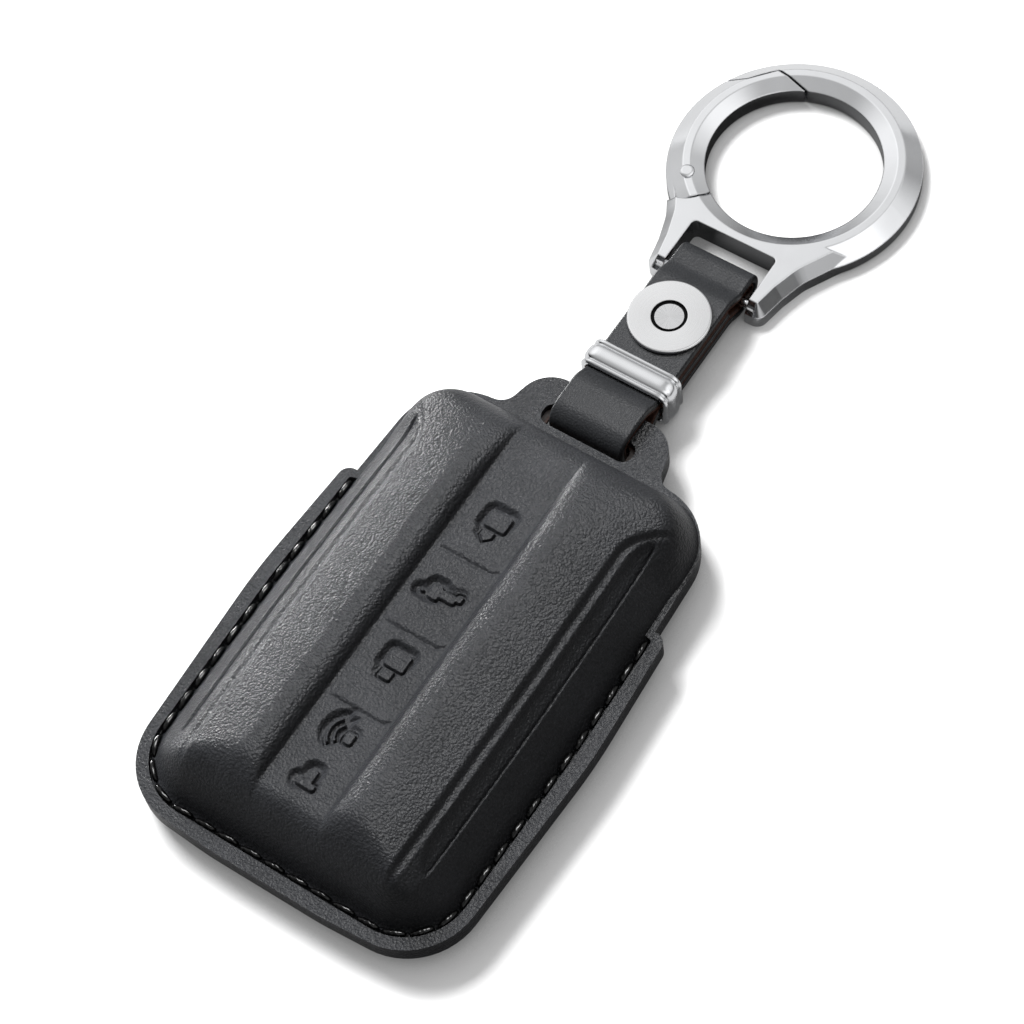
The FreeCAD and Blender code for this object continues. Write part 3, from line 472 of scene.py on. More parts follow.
# Cut edges are painted, so they look black, smooth and slightly glossy.
EDGE_PAINT = LeatherFinish(
    "edge_paint_burnished", "#0a0a0b", "#121213", 0.32, 0.45, 0.0012, 0.00003, 0.45)
# Lining leather: dull red brown, without gloss.
BROWN_LINING = LeatherFinish(
    "split_leather_lining_dyed", "#2f1a11", "#4a2a1c", 0.65, 0.8, 0.0006, 0.00006, 0.25)
# Polished and plated casting: the eye sees the room in it, with a faint cloud in its gloss.
CHROME = MetalFinish("zinc_casting_polished_chrome", "#d4d5d7", "#e0e1e3", 0.09, 0.14, 0.004)
# Stud disc: satin, with fine rings from the lathe.
DISC_METAL = TurnedFinish("steel_turned_satin", "#d6d7d8", "#ebebec", 0.22, 0.34, Brushing.RINGS)
# Stud button: bright and dark rays from radial brushing.
BUTTON_METAL = TurnedFinish("steel_brushed_rays", "#a8a9ab", "#f0f0f1", 0.22, 0.34, Brushing.RAYS)
# Groove round the stud's button: unpolished, and nearly black as painted shade in the groove.
GROOVE_PAINTED_SHADE = MetalFinish("steel_groove_painted_shade", "#1c1c1d", "#2a2a2b", 0.5, 0.6, 0.001)
# Spring strip: grey rolled steel.
SPRING_STRIP = MetalFinish("steel_strip_rolled", "#6d6e71", "#8a8b8e", 0.25, 0.35, 0.0008)
# Waxed thread: black and glossy.
WAXED_THREAD = ThreadFinish(
    "waxed_polyester_thread_laid", "#040404", "#0c0c0d", 0.14, 0.22, 0.0005, 0.00006, 0.22)


# Pieces


def add_piece(name: str, mesh: bmesh.types.BMesh, finishes: Sequence[Finish], body: Body,
              slot: str, node: str, weighted: bool = False) -> None:
    """Turn a mesh in millimetres into a shown piece of the object.

    Args:
        name: name of the piece.
        mesh: the mesh, freed here.
        finishes: its finishes in order of their material index.
        body: the body that carries it.
        slot: material slot of the record; not used.
        node: frame node that it stands for.
        weighted: whether large faces set the normals at their edges.
    """
    bmesh.ops.scale(mesh, vec=(MM, MM, MM), verts=mesh.verts)
    data = bpy.data.meshes.new(name)
    for face in mesh.faces:
        face.smooth = True
    mesh.to_mesh(data)
    mesh.free()
    piece = bpy.data.objects.new(name, data)
    bpy.context.scene.collection.objects.link(piece)
    for finish in finishes:
        data.materials.append(finish.build())
    if weighted:
        modifier = piece.modifiers.new("even_normals", "WEIGHTED_NORMAL")
        modifier.weight = 80
    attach(piece, body.value)
    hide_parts(node)
    LOG.info("%s: %d faces on %s", name, len(data.polygons), body.value)


def dress(nodes: dict[str, Finish]) -> None:
    """Give frame nodes that keep their shape a finish.

    Args:
        nodes: the finish of each node.
    """
    for name, finish in nodes.items():
        for place in frame["nodes"][name].material_slots:
            place.material = finish.build()
        LOG.info("%s: dressed as %s", name, finish.name)


def field_mesh(half: float, ends: Point2, pitch: Point2, surface: Callable[[float, float], Vector],
               keep: Callable[[float, float], bool]) -> bmesh.types.BMesh:
    """A sheet that follows a surface over a grid.

    Args:
        half: half width of the grid.
        ends: low and high end of the grid.
        pitch: grid pitch across and along.
        surface: point of the surface for a place on the grid.
        keep: whether a place belongs to the sheet.

    Returns:
        The mesh.
    """
    low, high = ends
    mesh = bmesh.new()
    across = math.ceil(2.0 * half / pitch[0])
    along = math.ceil((high - low) / pitch[1])
    bmesh.ops.create_grid(mesh, x_segments=across, y_segments=along, size=1.0)
    bmesh.ops.scale(mesh, vec=(half, (high - low) * 0.5, 1.0), verts=mesh.verts)
    bmesh.ops.translate(mesh, vec=(0.0, (high + low) * 0.5, 0.0), verts=mesh.verts)
    spare = [face for face in mesh.faces if not keep(*face.calc_center_median()[:2])]
    bmesh.ops.delete(mesh, geom=spare, context="FACES")
    for vert in mesh.verts:
        vert.co = surface(vert.co.x, vert.co.y)
    return mesh


def plate_mesh(loops: Sequence[Sequence[Point2]], low: float, high: float,
               edge: float) -> bmesh.types.BMesh:
    """A flat plate with holes and rounded edges.

    Args:
        loops: the outline and its holes.
        low: underside.
        high: upper side.
        edge: rounding of its edges.

    Returns:
        The mesh.
    """
    sharp, level = 1.2, 1e-6
    mesh = bmesh.new()
    edges = []
    for loop in loops:
        verts = [mesh.verts.new((x, y, high)) for x, y in loop]
        edges += [mesh.edges.new((a, b)) for a, b in zip(verts, verts[1:] + verts[:1])]
    bmesh.ops.triangle_fill(mesh, edges=edges, use_beauty=True, use_dissolve=False,
                            normal=(0.0, 0.0, 1.0))
    grown = bmesh.ops.extrude_face_region(mesh, geom=list(mesh.faces))["geom"]
    lower = [item for item in grown if isinstance(item, bmesh.types.BMVert)]
    bmesh.ops.translate(mesh, vec=(0.0, 0.0, low - high), verts=lower)
    bmesh.ops.recalc_face_normals(mesh, faces=mesh.faces)
    rims = [e for e in mesh.edges if len(e.link_faces) == 2 and e.calc_face_angle() > sharp
            and abs(e.verts[0].co.z - e.verts[1].co.z) < level]
    bmesh.ops.bevel(mesh, geom=rims, offset=edge, offset_type="OFFSET", segments=4, profile=0.5,
                    affect="EDGES", material=-1, clamp_overlap=True)
    return mesh


def sweep_mesh(rings: Sequence[Sequence[Vector]], closed: bool,
               side_index: int = 0) -> bmesh.types.BMesh:
    """A skin over a row of rings of points.

    Args:
        rings: rings with the same number of points.
        closed: whether the last ring joins the first.
        side_index: material index of faces that look sideways.

    Returns:
        The mesh.
    """
    sideways = 0.8
    mesh = bmesh.new()
    rows = [[mesh.verts.new(p) for p in ring] for ring in rings]
    pairs = list(zip(rows, rows[1:]))
    if closed:
        pairs.append((rows[-1], rows[0]))
    for one, two in pairs:
        for i in range(len(one)):
            j = (i + 1) % len(one)
            mesh.faces.new((one[i], one[j], two[j], two[i]))
    if not closed:
        mesh.faces.new(list(reversed(rows[0])))
        mesh.faces.new(rows[-1])
    bmesh.ops.recalc_face_normals(mesh, faces=mesh.faces)
    for face in mesh.faces:
        if abs(face.normal.x) > sideways or len(face.verts) > 4:
            face.material_index = side_index
    return mesh


# Cover


class Form(Enum):
    """Forms that a pressed sign is made of."""

    BOX = auto()
    ARC = auto()
    POINT = auto()


Shape = tuple[Form, float, float, float, float]


@dataclass(frozen=True)
class Mark:
    """A small pressed sign: where it is and which shapes stand up in its hollow."""

    y: float
    shapes: tuple[Shape, ...]
    x: float = 0.2
    reach: float = 4.5
    face: float = 0.05
    groove: float = 0.65
    hollow: float = 0.4
    hollow_lean: float = 0.38
    lean_rate: float = 0.45
    # Steps of the relief, as start and width, while the distance to the shapes grows
    drop: Point2 = (-0.12, 0.16)
    rise: Point2 = (0.16, 0.24)
    fade: Point2 = (0.38, 0.45)
    fade_lean: float = 0.3
    box_corner: float = 0.35
    arc_half: float = 0.24
    point_slope: float = 0.9

    def height(self, x: float, y: float) -> float:
        """Change of height at a place: a low face, a groove round it and a hollow that fades out.

        Args:
            x: place across.
            y: place along.

        Returns:
            The height to add.
        """
        u, v = x - self.x, y - self.y
        if abs(u) > self.reach or abs(v) > self.reach:
            return 0.0
        near = min(self.distance(shape, u, v) for shape in self.shapes)
        lean = clamp((v - u) * self.lean_rate, -1.0, 1.0)
        drop = ease((near - self.drop[0]) / self.drop[1])
        rise = ease((near - self.rise[0]) / self.rise[1])
        fade = ease((near - self.fade[0]) / (self.fade[1] + self.fade_lean * (1.0 + lean)))
        hollow = self.hollow + self.hollow_lean * lean
        groove = self.groove * drop * (1.0 - rise)
        return -self.face * (1.0 - drop) - groove - hollow * rise * (1.0 - fade)

    def distance(self, shape: Shape, u: float, v: float) -> float:
        """Signed distance to one shape.

        Args:
            shape: its form, middle and two sizes.
            u: place across.
            v: place along.

        Returns:
            The distance, below zero inside.
        """
        form, middle_u, middle_v, a, b = shape
        u, v = u - middle_u, v - middle_v
        if form is Form.BOX:
            du, dv = abs(u) - a + self.box_corner, abs(v) - b + self.box_corner
            outside = math.hypot(max(du, 0.0), max(dv, 0.0))
            return outside + min(max(du, dv), 0.0) - self.box_corner
        if form is Form.ARC:
            across = abs(math.hypot(u, v) - a) - self.arc_half
            return max(across, abs(math.atan2(v, -u)) * a - b)
        return max(abs(u) - a, v - b, -v - b + abs(u) * self.point_slope)


# Half cross-section of the front: the channel with the ridge, and the ridge with its side facet
SECTION_INNER = Profile([
    (-30.0, 14.7), (5.2, 14.7), (5.7, 15.45), (6.4, 16.12), (7.3, 16.54), (8.4, 16.74),
    (9.4, 16.71), (11.5, 16.18), (13.8, 15.46), (30.0, 10.0)], 0.4)
SECTION_OUTER = Profile([
    (8.5, 16.73), (9.4, 16.71), (11.5, 16.18), (13.8, 15.46), (15.9, 14.68), (16.45, 13.78),
    (16.7, 13.62), (17.35, 13.5), (17.6, 13.2), (19.4, 11.5), (23.4, 6.2), (24.0, 5.4),
    (40.0, 5.4)], 0.24)
# Rise of the front inwards from its ends and from its corners, and of the back from its edge
HIGH_END = Profile([
    (-8.0, 5.4), (-0.6, 5.4), (0.0, 6.2), (0.8, 9.6), (2.0, 12.6), (3.6, 14.5), (6.0, 15.6),
    (10.0, 16.9), (16.0, 18.6), (40.0, 24.0)], 1.4)
LOW_END = Profile([
    (-8.0, 5.4), (-0.6, 5.4), (0.0, 6.2), (0.7, 9.3), (1.7, 12.5), (3.0, 14.7), (4.8, 16.3),
    (7.5, 17.8), (14.0, 20.0), (40.0, 26.0)], 1.2)
CORNER_PROFILE = Profile([
    (-8.0, 5.4), (-0.6, 5.4), (0.0, 6.2), (1.2, 9.4), (2.6, 12.2), (4.5, 14.6), (7.0, 16.9),
    (12.0, 20.5), (40.0, 34.0)], 1.4)
BACK_PROFILE = Profile([
    (-8.0, 3.8), (-0.5, 3.8), (0.0, 3.2), (2.4, 0.35), (3.4, 0.0), (60.0, 0.0)], 0.9)
# Flange with its rim and tab, the foot of the raised front and the strap's slot in the tab
FLANGE_LOOPS = (
    rounded_loop(mirrored([
        (9.0, -37.6, 60.0), (25.8, -36.6, 10.5), (27.4, -1.0, 90.0), (26.3, 18.9, 1.7),
        (24.4, 18.9, 0.0), (23.6, 37.7, 10.0), (12.6, 38.2, 2.6), (10.8, 45.8, 5.0)]), 1.2),
    rounded_loop(mirrored([
        (24.5, -35.5, 9.2), (25.15, -1.0, 90.0), (24.75, 17.6, 0.6), (21.0, 18.2, 0.6),
        (20.6, 34.6, 6.0)]), 1.2),
    rounded_loop(box_corners(7.4, 38.4, 41.8, 1.55), 0.5),
)
# Lining between the leathers of the tab, with its own slot, and the line of the seam
TAB_LOOPS = (
    rounded_loop(mirrored([(10.4, 38.3, 0.0), (10.4, 45.4, 4.6)]), 0.8),
    rounded_loop(mirrored([(6.35, 38.6, 0.0), (6.35, 41.6, 1.2)]), 0.6),
)
SEAM_LINE = rounded_loop(
    mirrored([(24.2, 17.6, 0.0), (24.55, -1.0, 90.0), (23.95, -34.95, 8.6)]), 0.2, closed=False)
# Lines between the button pads, and their signs: padlock, car, open padlock, waves and a base
SEPARATORS = (11.6, -1.2, -13.8)
MARKS = (
    Mark(17.6, ((Form.BOX, 0.2, 1.1, 1.7, 1.35), (Form.POINT, -0.1, -1.5, 0.95, 0.95))),
    Mark(6.0, ((Form.BOX, -1.2, -0.3, 0.85, 1.15), (Form.BOX, 0.5, -0.15, 1.5, 0.68),
               (Form.BOX, 2.2, 0.4, 0.55, 0.6), (Form.BOX, -2.9, -0.9, 0.42, 0.24))),
    Mark(-6.2, ((Form.BOX, 0.3, 1.0, 1.6, 1.35), (Form.BOX, 0.0, -1.35, 0.95, 0.8))),
    Mark(-17.6, ((Form.ARC, 0.8, 0.0, 2.6, 2.2), (Form.ARC, 0.8, 0.0, 1.65, 1.5),
                 (Form.BOX, 1.2, 0.0, 0.7, 0.9))),
    Mark(-25.0, ((Form.BOX, 0.0, -0.8, 1.5, 0.5), (Form.BOX, 0.15, 0.4, 0.58, 1.2))),
)


@dataclass(frozen=True)
class Cover:
    """The moulded shells with their linings and seam; sizes in millimetres."""

    half: float = 23.4
    low: float = -34.2
    high: float = 37.1
    corner: float = 8.0
    bulge: float = 0.5
    bulge_middle: float = -1.0
    bulge_reach: float = 30.0
    bulge_limit: float = 1.3
    bulge_start: float = 12.0
    bulge_run: float = 8.0
    margin: float = 3.0
    ends: Point2 = (-36.2, 38.6)
    sewn_end: float = 17.9
    sewn_reach: float = 1.7
    open_reach: float = 0.15
    section_change: float = 12.6
    end_blend: float = 2.2
    corner_blend: float = 1.4
    seam_height: float = 4.7
    seam_gap: float = 0.02
    flange_top: float = 6.2
    flange_foot: float = 3.2
    flange_edge: float = 0.5
    panel_inner: float = 17.5
    panel_outer: float = 19.4
    panel_low: float = -27.2
    panel_high: float = 27.6
    panel_tip: float = 5.2
    panel_depth: float = 0.55
    panel_margin: Point2 = (1.0, 0.4)
    panel_walls: Point2 = (0.3, 0.18)
    panel_fade: Point2 = (0.4, 2.4)
    crease_depth: float = 0.22
    crease_width: float = 0.17
    lip: float = 15.2
    lip_slope: float = 0.37
    flare_start: float = 23.0
    flare_rate: float = 0.09
    pad_half: float = 5.0
    pad_ends: Point2 = (-27.2, 22.0)
    pad_hole: Point3 = (4.8, -26.8, 21.6)
    pad_drop: float = 0.012
    pressed_reach: float = 7.0
    line_ends: Point2 = (-5.0, 5.6)
    line_bend: Point2 = (3.4, 0.32)
    line_fade: Point2 = (1.8, 1.6)
    line_reach: float = 2.5
    line_depth: float = 0.16
    line_width: float = 0.3
    welt_height: float = 0.13
    welt_offset: float = 0.65
    welt_width: float = 0.6
    lining_inset: float = 2.9
    roof_drop: float = 2.3
    roof_top: float = 12.9
    roof_thickness: float = 0.35
    floor_rise: float = 1.75
    floor_thickness: float = 0.2
    tab_levels: Point2 = (4.42, 4.98)
    tab_edge: float = 0.08
    # Pitches of the grids, across and along
    dome_pitch: Point2 = (0.14, 0.42)
    pad_pitch: Point2 = (0.09, 0.09)
    tray_pitch: Point2 = (0.5, 0.5)
    lining_pitch: Point2 = (0.9, 0.9)

    def swell(self, y: float) -> float:
        """How far the sides stand out past their ends."""
        away = ((y - self.bulge_middle) / self.bulge_reach) ** 2
        return self.bulge * (1.0 - min(self.bulge_limit, away))

    def inset(self, x: float, y: float) -> float:
        """Distance inwards from the foot of the raised front.

        Args:
            x: place across.
            y: place along.

        Returns:
            The distance, below zero outside.
        """
        middle = (self.high + self.low) * 0.5
        u = abs(x) - self.half - self.swell(y) + self.corner
        v = abs(y - middle) - (self.high - self.low) * 0.5 + self.corner
        return self.corner - math.hypot(max(u, 0.0), max(v, 0.0)) - min(max(u, v), 0.0)

    def panel(self, x: float, y: float) -> float:
        """Depth of the long recess in a side facet, with a crease along its foot.

        Args:
            x: place across, made even about the middle line.
            y: place along.

        Returns:
            The depth.
        """
        near, far = self.panel_inner - self.panel_margin[0], self.panel_outer + self.panel_margin[1]
        if not (self.panel_low < y < self.panel_high and near <= x <= far):
            return 0.0
        left = min(self.panel_high - y, y - self.panel_low)
        tip = max(0.0, 1.0 - left / self.panel_tip)
        width = (self.panel_outer - self.panel_inner) * math.sqrt(max(0.0, 1.0 - tip * tip))
        past = x - self.panel_outer
        inner, outer = self.panel_walls
        floor = ease((past + width) / inner) * (1.0 - ease(past / outer))
        crease = self.crease_depth * math.exp(-(past / self.crease_width) ** 2)
        least, rate = self.panel_fade
        return (self.panel_depth * floor + crease) * min(1.0, least + (1.0 - tip) * rate)

    def ridge(self, across: float, y: float) -> float:
        """Height of the cross-section; the lip flares round the recess at the ring's end.

        Args:
            across: place across, made even about the middle line.
            y: place along.

        Returns:
            The height.
        """
        if across < self.section_change:
            return SECTION_INNER.at(across)
        flare = self.flare_rate * max(0.0, y - self.flare_start) ** 2
        place = min(across, max(across - flare, self.lip))
        return SECTION_OUTER.at(place) - self.lip_slope * (across - place)

    def pressed(self, x: float, y: float) -> float:
        """Height change of the pressed lines and signs on the channel floor.

        Args:
            x: place across.
            y: place along.

        Returns:
            The height to add.
        """
        if abs(x) > self.pressed_reach:
            return 0.0
        change = sum(mark.height(x, y) for mark in MARKS)
        left, right = self.line_ends
        bend_start, bend_rate = self.line_bend
        bend = bend_rate * max(0.0, x - bend_start) ** 2
        for line in SEPARATORS:
            gap = y - line - bend
            if abs(gap) < self.line_reach and left < x < right:
                fade = ease((x - left) / self.line_fade[0]) * ease((right - x) / self.line_fade[1])
                welt = math.exp(-((gap - self.welt_offset) / self.welt_width) ** 2)
                dip = math.exp(-(gap / self.line_width) ** 2)
                change += fade * (self.welt_height * welt - self.line_depth * dip)
        return change

    def front(self, u: float, y: float) -> Vector:
        """Point of the front; grid lines follow the swell of the sides.

        Args:
            u: place across, before the swell.
            y: place along.

        Returns:
            The point.
        """
        across = abs(u)
        share = ease((across - self.bulge_start) / self.bulge_run)
        x = u + math.copysign(self.swell(y) * share, u)
        end = min(HIGH_END.at(self.high - y), LOW_END.at(y - self.low))
        height = soft_min(self.ridge(across, y), end, self.end_blend)
        height = soft_min(height, CORNER_PROFILE.at(self.inset(x, y)), self.corner_blend)
        return Vector((x, y, height - self.panel(across, y) + self.pressed(u, y)))

    def pads(self, x: float, y: float) -> Vector:
        """Point of the finer sheet with the signs, a hair below the front round it."""
        return self.front(x, y) - Vector((0.0, 0.0, self.pad_drop))

    def back(self, x: float, y: float) -> Vector:
        """Point of the back."""
        return Vector((x, y, BACK_PROFILE.at(self.inset(x, y))))

    def roof(self, x: float, y: float) -> Vector:
        """Point of the front lining."""
        spot = self.front(x, y)
        return Vector((*spot.xy, clamp(spot.z - self.roof_drop, self.seam_height, self.roof_top)))

    def floor(self, x: float, y: float) -> Vector:
        """Point of the back lining."""
        height = self.back(x, y).z + self.floor_rise
        return Vector((x, y, min(height, self.seam_height)))

    def within(self, x: float, y: float) -> bool:
        """Whether a place belongs to a shell's raised part, with the groove beside it."""
        return self.inset(x, y) > -(self.sewn_reach if y < self.sewn_end else self.open_reach)

    def round_pads(self, x: float, y: float) -> bool:
        """Whether a place belongs to the front, round the sheet of the button pads."""
        half, low, high = self.pad_hole
        return self.within(x, y) and not (abs(x) < half and low < y < high)

    def lined(self, x: float, y: float) -> bool:
        """Whether a place belongs to a lining."""
        return self.inset(x, y) > self.lining_inset

    def build(self) -> None:
        """Make every piece of the cover."""
        self.build_front()
        self.build_back()
        self.build_linings()
        seam = Seam()
        seam.build("front", self.flange_top, 1.0)
        seam.build("back", self.flange_foot, -1.0)

    def flange(self, low: float, high: float) -> bmesh.types.BMesh:
        """Flange of one shell between two heights."""
        return plate_mesh(FLANGE_LOOPS, low, high, self.flange_edge)

    def build_front(self) -> None:
        """Make the raised front, the sheet of the button pads and the front's flange."""
        rest = ((MOULDED_LEATHER,), Body.COVER, "moulded_leather", "front_cover")
        width = self.half + self.margin
        dome = field_mesh(width, self.ends, self.dome_pitch, self.front, self.round_pads)
        add_piece("front_dome", dome, *rest)
        pads = field_mesh(self.pad_half, self.pad_ends, self.pad_pitch, self.pads, self.within)
        add_piece("button_pads", pads, *rest)
        plate = self.flange(self.seam_height + self.seam_gap, self.flange_top)
        add_piece("front_flange", plate, *rest, weighted=True)

    def build_back(self) -> None:
        """Make the back's tray and flange."""
        rest = ((BACK_LEATHER,), Body.COVER, "back_leather", "back_cover")
        width = self.half + self.margin
        tray = field_mesh(width, self.ends, self.tray_pitch, self.back, self.within)
        bmesh.ops.reverse_faces(tray, faces=tray.faces)
        add_piece("back_tray", tray, *rest)
        plate = self.flange(self.flange_foot, self.seam_height - self.seam_gap)
        add_piece("back_flange", plate, *rest, weighted=True)

    def build_linings(self) -> None:
        """Make the linings inside the shells and the patch between the tabs."""
        rest = ((BROWN_LINING,), Body.COVER, "brown_lining")
        sheets = (("front_lining", self.roof, self.roof_thickness),
                  ("back_lining", self.floor, self.floor_thickness))
        for node, surface, thickness in sheets:
            sheet = field_mesh(self.half, (self.low, self.high), self.lining_pitch, surface,
                               self.lined)
            bmesh.ops.solidify(sheet, geom=sheet.faces, thickness=thickness)
            add_piece(node + "_sheet", sheet, *rest, node)
        patch = plate_mesh(TAB_LOOPS, *self.tab_levels, self.tab_edge)
        add_piece("tab_lining_sheet", patch, *rest, "tab_lining")


@dataclass(frozen=True)
class Seam:
    """Rows of round stitches along the flange; sizes in millimetres."""

    pitch: float = 3.65
    start: float = 0.06
    length: float = 0.88
    slant: float = 0.16
    rise: float = 0.42
    foot: float = 0.53
    end_radius: float = 0.24
    belly: float = 0.18
    steps: int = 10
    sides: int = 10

    def stitch(self, path: Sequence[Vector], start: float, run: float, height: float,
               way: float) -> bmesh.types.BMesh:
        """One stitch, which dips into the leather at both ends.

        Args:
            path: line of the seam.
            start: where the stitch starts along the line.
            run: its length.
            height: height of the flange's face.
            way: 1 on the front and -1 on the back.

        Returns:
            The mesh.
        """
        rings = []
        for step in range(self.steps + 1):
            share = step / self.steps
            spot, heading = walk(path, start + run * share)
            lift = math.sin(math.pi * share)
            side = Vector((-heading.y, heading.x, 0.0))
            centre = spot + side * self.slant * (share - 0.5)
            centre.z = height + way * (self.rise * lift ** 0.6 - self.foot)
            radius = self.end_radius + self.belly * lift ** 0.7
            turns = [math.tau * i / self.sides for i in range(self.sides)]
            rings.append([centre + (side * math.cos(t) + Vector((0.0, 0.0, math.sin(t)))) * radius
                          for t in turns])
        return sweep_mesh(rings, closed=False)

    def build(self, name: str, height: float, way: float) -> None:
        """Make one side of the seam.

        Args:
            name: which side.
            height: height of the flange's face.
            way: 1 on the front and -1 on the back.
        """
        path = [Vector((x, y, 0.0)) for x, y in SEAM_LINE]
        total = sum((b - a).length for a, b in zip(path, path[1:]))
        count = int(total / self.pitch)
        pitch = total / count
        mesh = bmesh.new()
        for k in range(count):
            part = self.stitch(path, (k + self.start) * pitch, self.length * pitch, height, way)
            data = bpy.data.meshes.new("stitch")
            part.to_mesh(data)
            part.free()
            mesh.from_mesh(data)
            bpy.data.meshes.remove(data)
        add_piece(name + "_stitches", mesh, (WAXED_THREAD,), Body.COVER, "waxed_thread",
                  "seam_thread_" + name)


# Strap, keeper, stud and ring


@dataclass(frozen=True)
class Strap:
    """The folded strap and its lining; sizes in millimetres."""

    half: float = 6.0
    leather: float = 1.2
    lining: float = 0.5
    edge: float = 0.42
    lining_inset: float = 0.12
    lining_edge: float = 0.15
    tail: float = 49.2
    ramp_near: float = 48.7
    ramp_far: float = 67.6
    ring_flat: float = 70.3
    far: float = 75.4
    near: float = 39.0
    tab_flat: float = 46.3
    lap: float = 67.4
    top: float = 6.7
    middle: float = 3.2
    bottom: float = 1.4
    ring_high: float = 5.25
    ring_low: float = 0.05
    tab_high: float = 8.35
    tab_low: float = 1.05
    ring_bend: float = 2.55
    tab_bend: float = 3.0
    ramp_bend: float = 3.0

    def path(self, depth: float) -> list[Corner]:
        """Side view of the strap at a depth under its outer face.

        Args:
            depth: the depth.

        Returns:
            Corners with their bending radii.
        """
        ring, tab, ramp = self.ring_bend - depth, self.tab_bend - depth, self.ramp_bend
        d = depth
        return [
            (self.tail, self.bottom + d, 0.0), (self.ramp_far, self.bottom + d, ramp),
            (self.ring_flat, self.ring_low + d, ramp), (self.far - d, self.ring_low + d, ring),
            (self.far - d, self.ring_high - d, ring), (self.ring_flat, self.ring_high - d, ramp),
            (self.ramp_far, self.top - d, ramp), (self.ramp_near, self.top - d, ramp),
            (self.tab_flat, self.tab_high - d, ramp), (self.near + d, self.tab_high - d, tab),
            (self.near + d, self.tab_low + d, tab), (self.tab_flat, self.tab_low + d, ramp),
            (self.ramp_near, self.middle + d, ramp), (self.lap, self.middle + d, 0.0),
        ]

    def ply(self, depth: float, thickness: float, half: float, edge: float) -> bmesh.types.BMesh:
        """One ply along the strap's path.

        Args:
            depth: depth of its middle under the outer face.
            thickness: its thickness.
            half: its half width.
            edge: rounding of its edges.

        Returns:
            The mesh.
        """
        path = rounded_loop(self.path(depth), 0.5, closed=False)
        section = rounded_loop(box_corners(half, -thickness * 0.5, thickness * 0.5, edge), 1.0)
        rings = []
        for i, (y, z) in enumerate(path):
            before, after = path[max(i - 1, 0)], path[min(i + 1, len(path) - 1)]
            run = Vector((after[0] - before[0], after[1] - before[1])).normalized()
            out = Vector((0.0, run.y, -run.x))
            rings.append([Vector((u, y, z)) + out * v for u, v in section])
        return sweep_mesh(rings, closed=False, side_index=1)

    def build(self) -> None:
        """Make both plies."""
        outer = self.ply(self.leather * 0.5, self.leather, self.half, self.edge)
        add_piece("strap_leather_ply", outer, (STRAP_LEATHER, EDGE_PAINT), Body.STRAP,
                  "strap_leather", "strap")
        inner = self.ply(self.leather + self.lining * 0.5, self.lining,
                         self.half - self.lining_inset, self.lining_edge)
        add_piece("strap_lining_ply", inner, (BROWN_LINING, BROWN_LINING), Body.STRAP,
                  "brown_lining", "strap_lining")


@dataclass(frozen=True)
class Keeper:
    """The polished loop round the strap; sizes in millimetres."""

    half: float = 6.2
    low: float = 1.2
    high: float = 6.9
    corner: float = 0.9
    near: float = 49.0
    length: float = 4.4
    foot: float = 0.15
    line: tuple[Point2, ...] = (
        (0.0, 0.3), (0.04, 0.62), (0.16, 0.84), (0.36, 0.94), (0.6, 0.9), (0.76, 0.74),
        (0.84, 0.55), (0.94, 0.66), (1.08, 0.86), (1.4, 1.05), (1.8, 1.13), (2.2, 1.15),
    )

    def build(self) -> None:
        """Make the loop."""
        section = list(self.line) + [(self.length - y, h) for y, h in reversed(self.line[:-1])]
        section += [(self.length - self.foot, 0.0), (self.foot, 0.0)]
        loop = rounded_loop(box_corners(self.half, self.low, self.high, self.corner), 0.6)
        rings = []
        for i, (x, z) in enumerate(loop):
            before, after = loop[i - 1], loop[(i + 1) % len(loop)]
            run = Vector((after[0] - before[0], after[1] - before[1])).normalized()
            out = Vector((run.y, 0.0, -run.x))
            rings.append([Vector((x, self.near + y, z)) + out * h for y, h in section])
        add_piece("keeper_loop", sweep_mesh(rings, closed=True), (CHROME,), Body.KEEPER,
                  "polished_metal", "strap_keeper")


@dataclass(frozen=True)
class Stud:
    """The disc, post and screw through the strap; sizes in millimetres."""

    # Faces inside this radius and above this height get the groove's painted shade
    groove_radius: float = 2.62
    groove_floor: float = 6.8
    # Half section of the disc: shank hole, groove floor, groove wall, face, edge and foot
    line: tuple[Point2, ...] = (
        (1.3, 6.72), (1.3, 7.0), (2.4, 7.0), (2.52, 7.02), (2.55, 7.1), (2.56, 7.42),
        (2.62, 7.48), (2.72, 7.5), (5.72, 7.5), (5.88, 7.46), (5.97, 7.36), (6.0, 7.2),
        (6.0, 6.84), (5.94, 6.74), (5.8, 6.71), (1.3, 6.72),
    )

    def build(self) -> None:
        """Turn the disc, with painted shade in the groove round its button, and dress the other
        pieces.
        """
        mesh = bmesh.new()
        line = [mesh.verts.new((r, STUD_Y, z)) for r, z in self.line]
        edges = [mesh.edges.new(pair) for pair in zip(line, line[1:])]
        bmesh.ops.spin(mesh, geom=line + edges, cent=(0.0, STUD_Y, 0.0), axis=(0.0, 0.0, 1.0),
                       angle=math.tau, steps=96, use_merge=True)
        bmesh.ops.recalc_face_normals(mesh, faces=mesh.faces)
        # Faces in the groove get a near-black finish, which paints the shade there
        for face in mesh.faces:
            x, y, z = face.calc_center_median()
            if math.hypot(x, y - STUD_Y) < self.groove_radius and z > self.groove_floor:
                face.material_index = 1
        add_piece("stud_turned_disc", mesh, (DISC_METAL, GROOVE_PAINTED_SHADE), Body.STRAP,
                  "brushed_metal", "stud_disc", weighted=True)
        dress({"stud_post": BUTTON_METAL, "stud_screw": DISC_METAL})


class Ring:
    """The ring with its crossbar and sprung gate, which keep the frame's shapes."""

    polished = ("ring_frame", "ring_gate", "crossbar", "gate_pin")

    def build(self) -> None:
        """Dress the pieces."""
        dress({**dict.fromkeys(self.polished, CHROME), "gate_spring": SPRING_STRIP})


# Studio, in metres


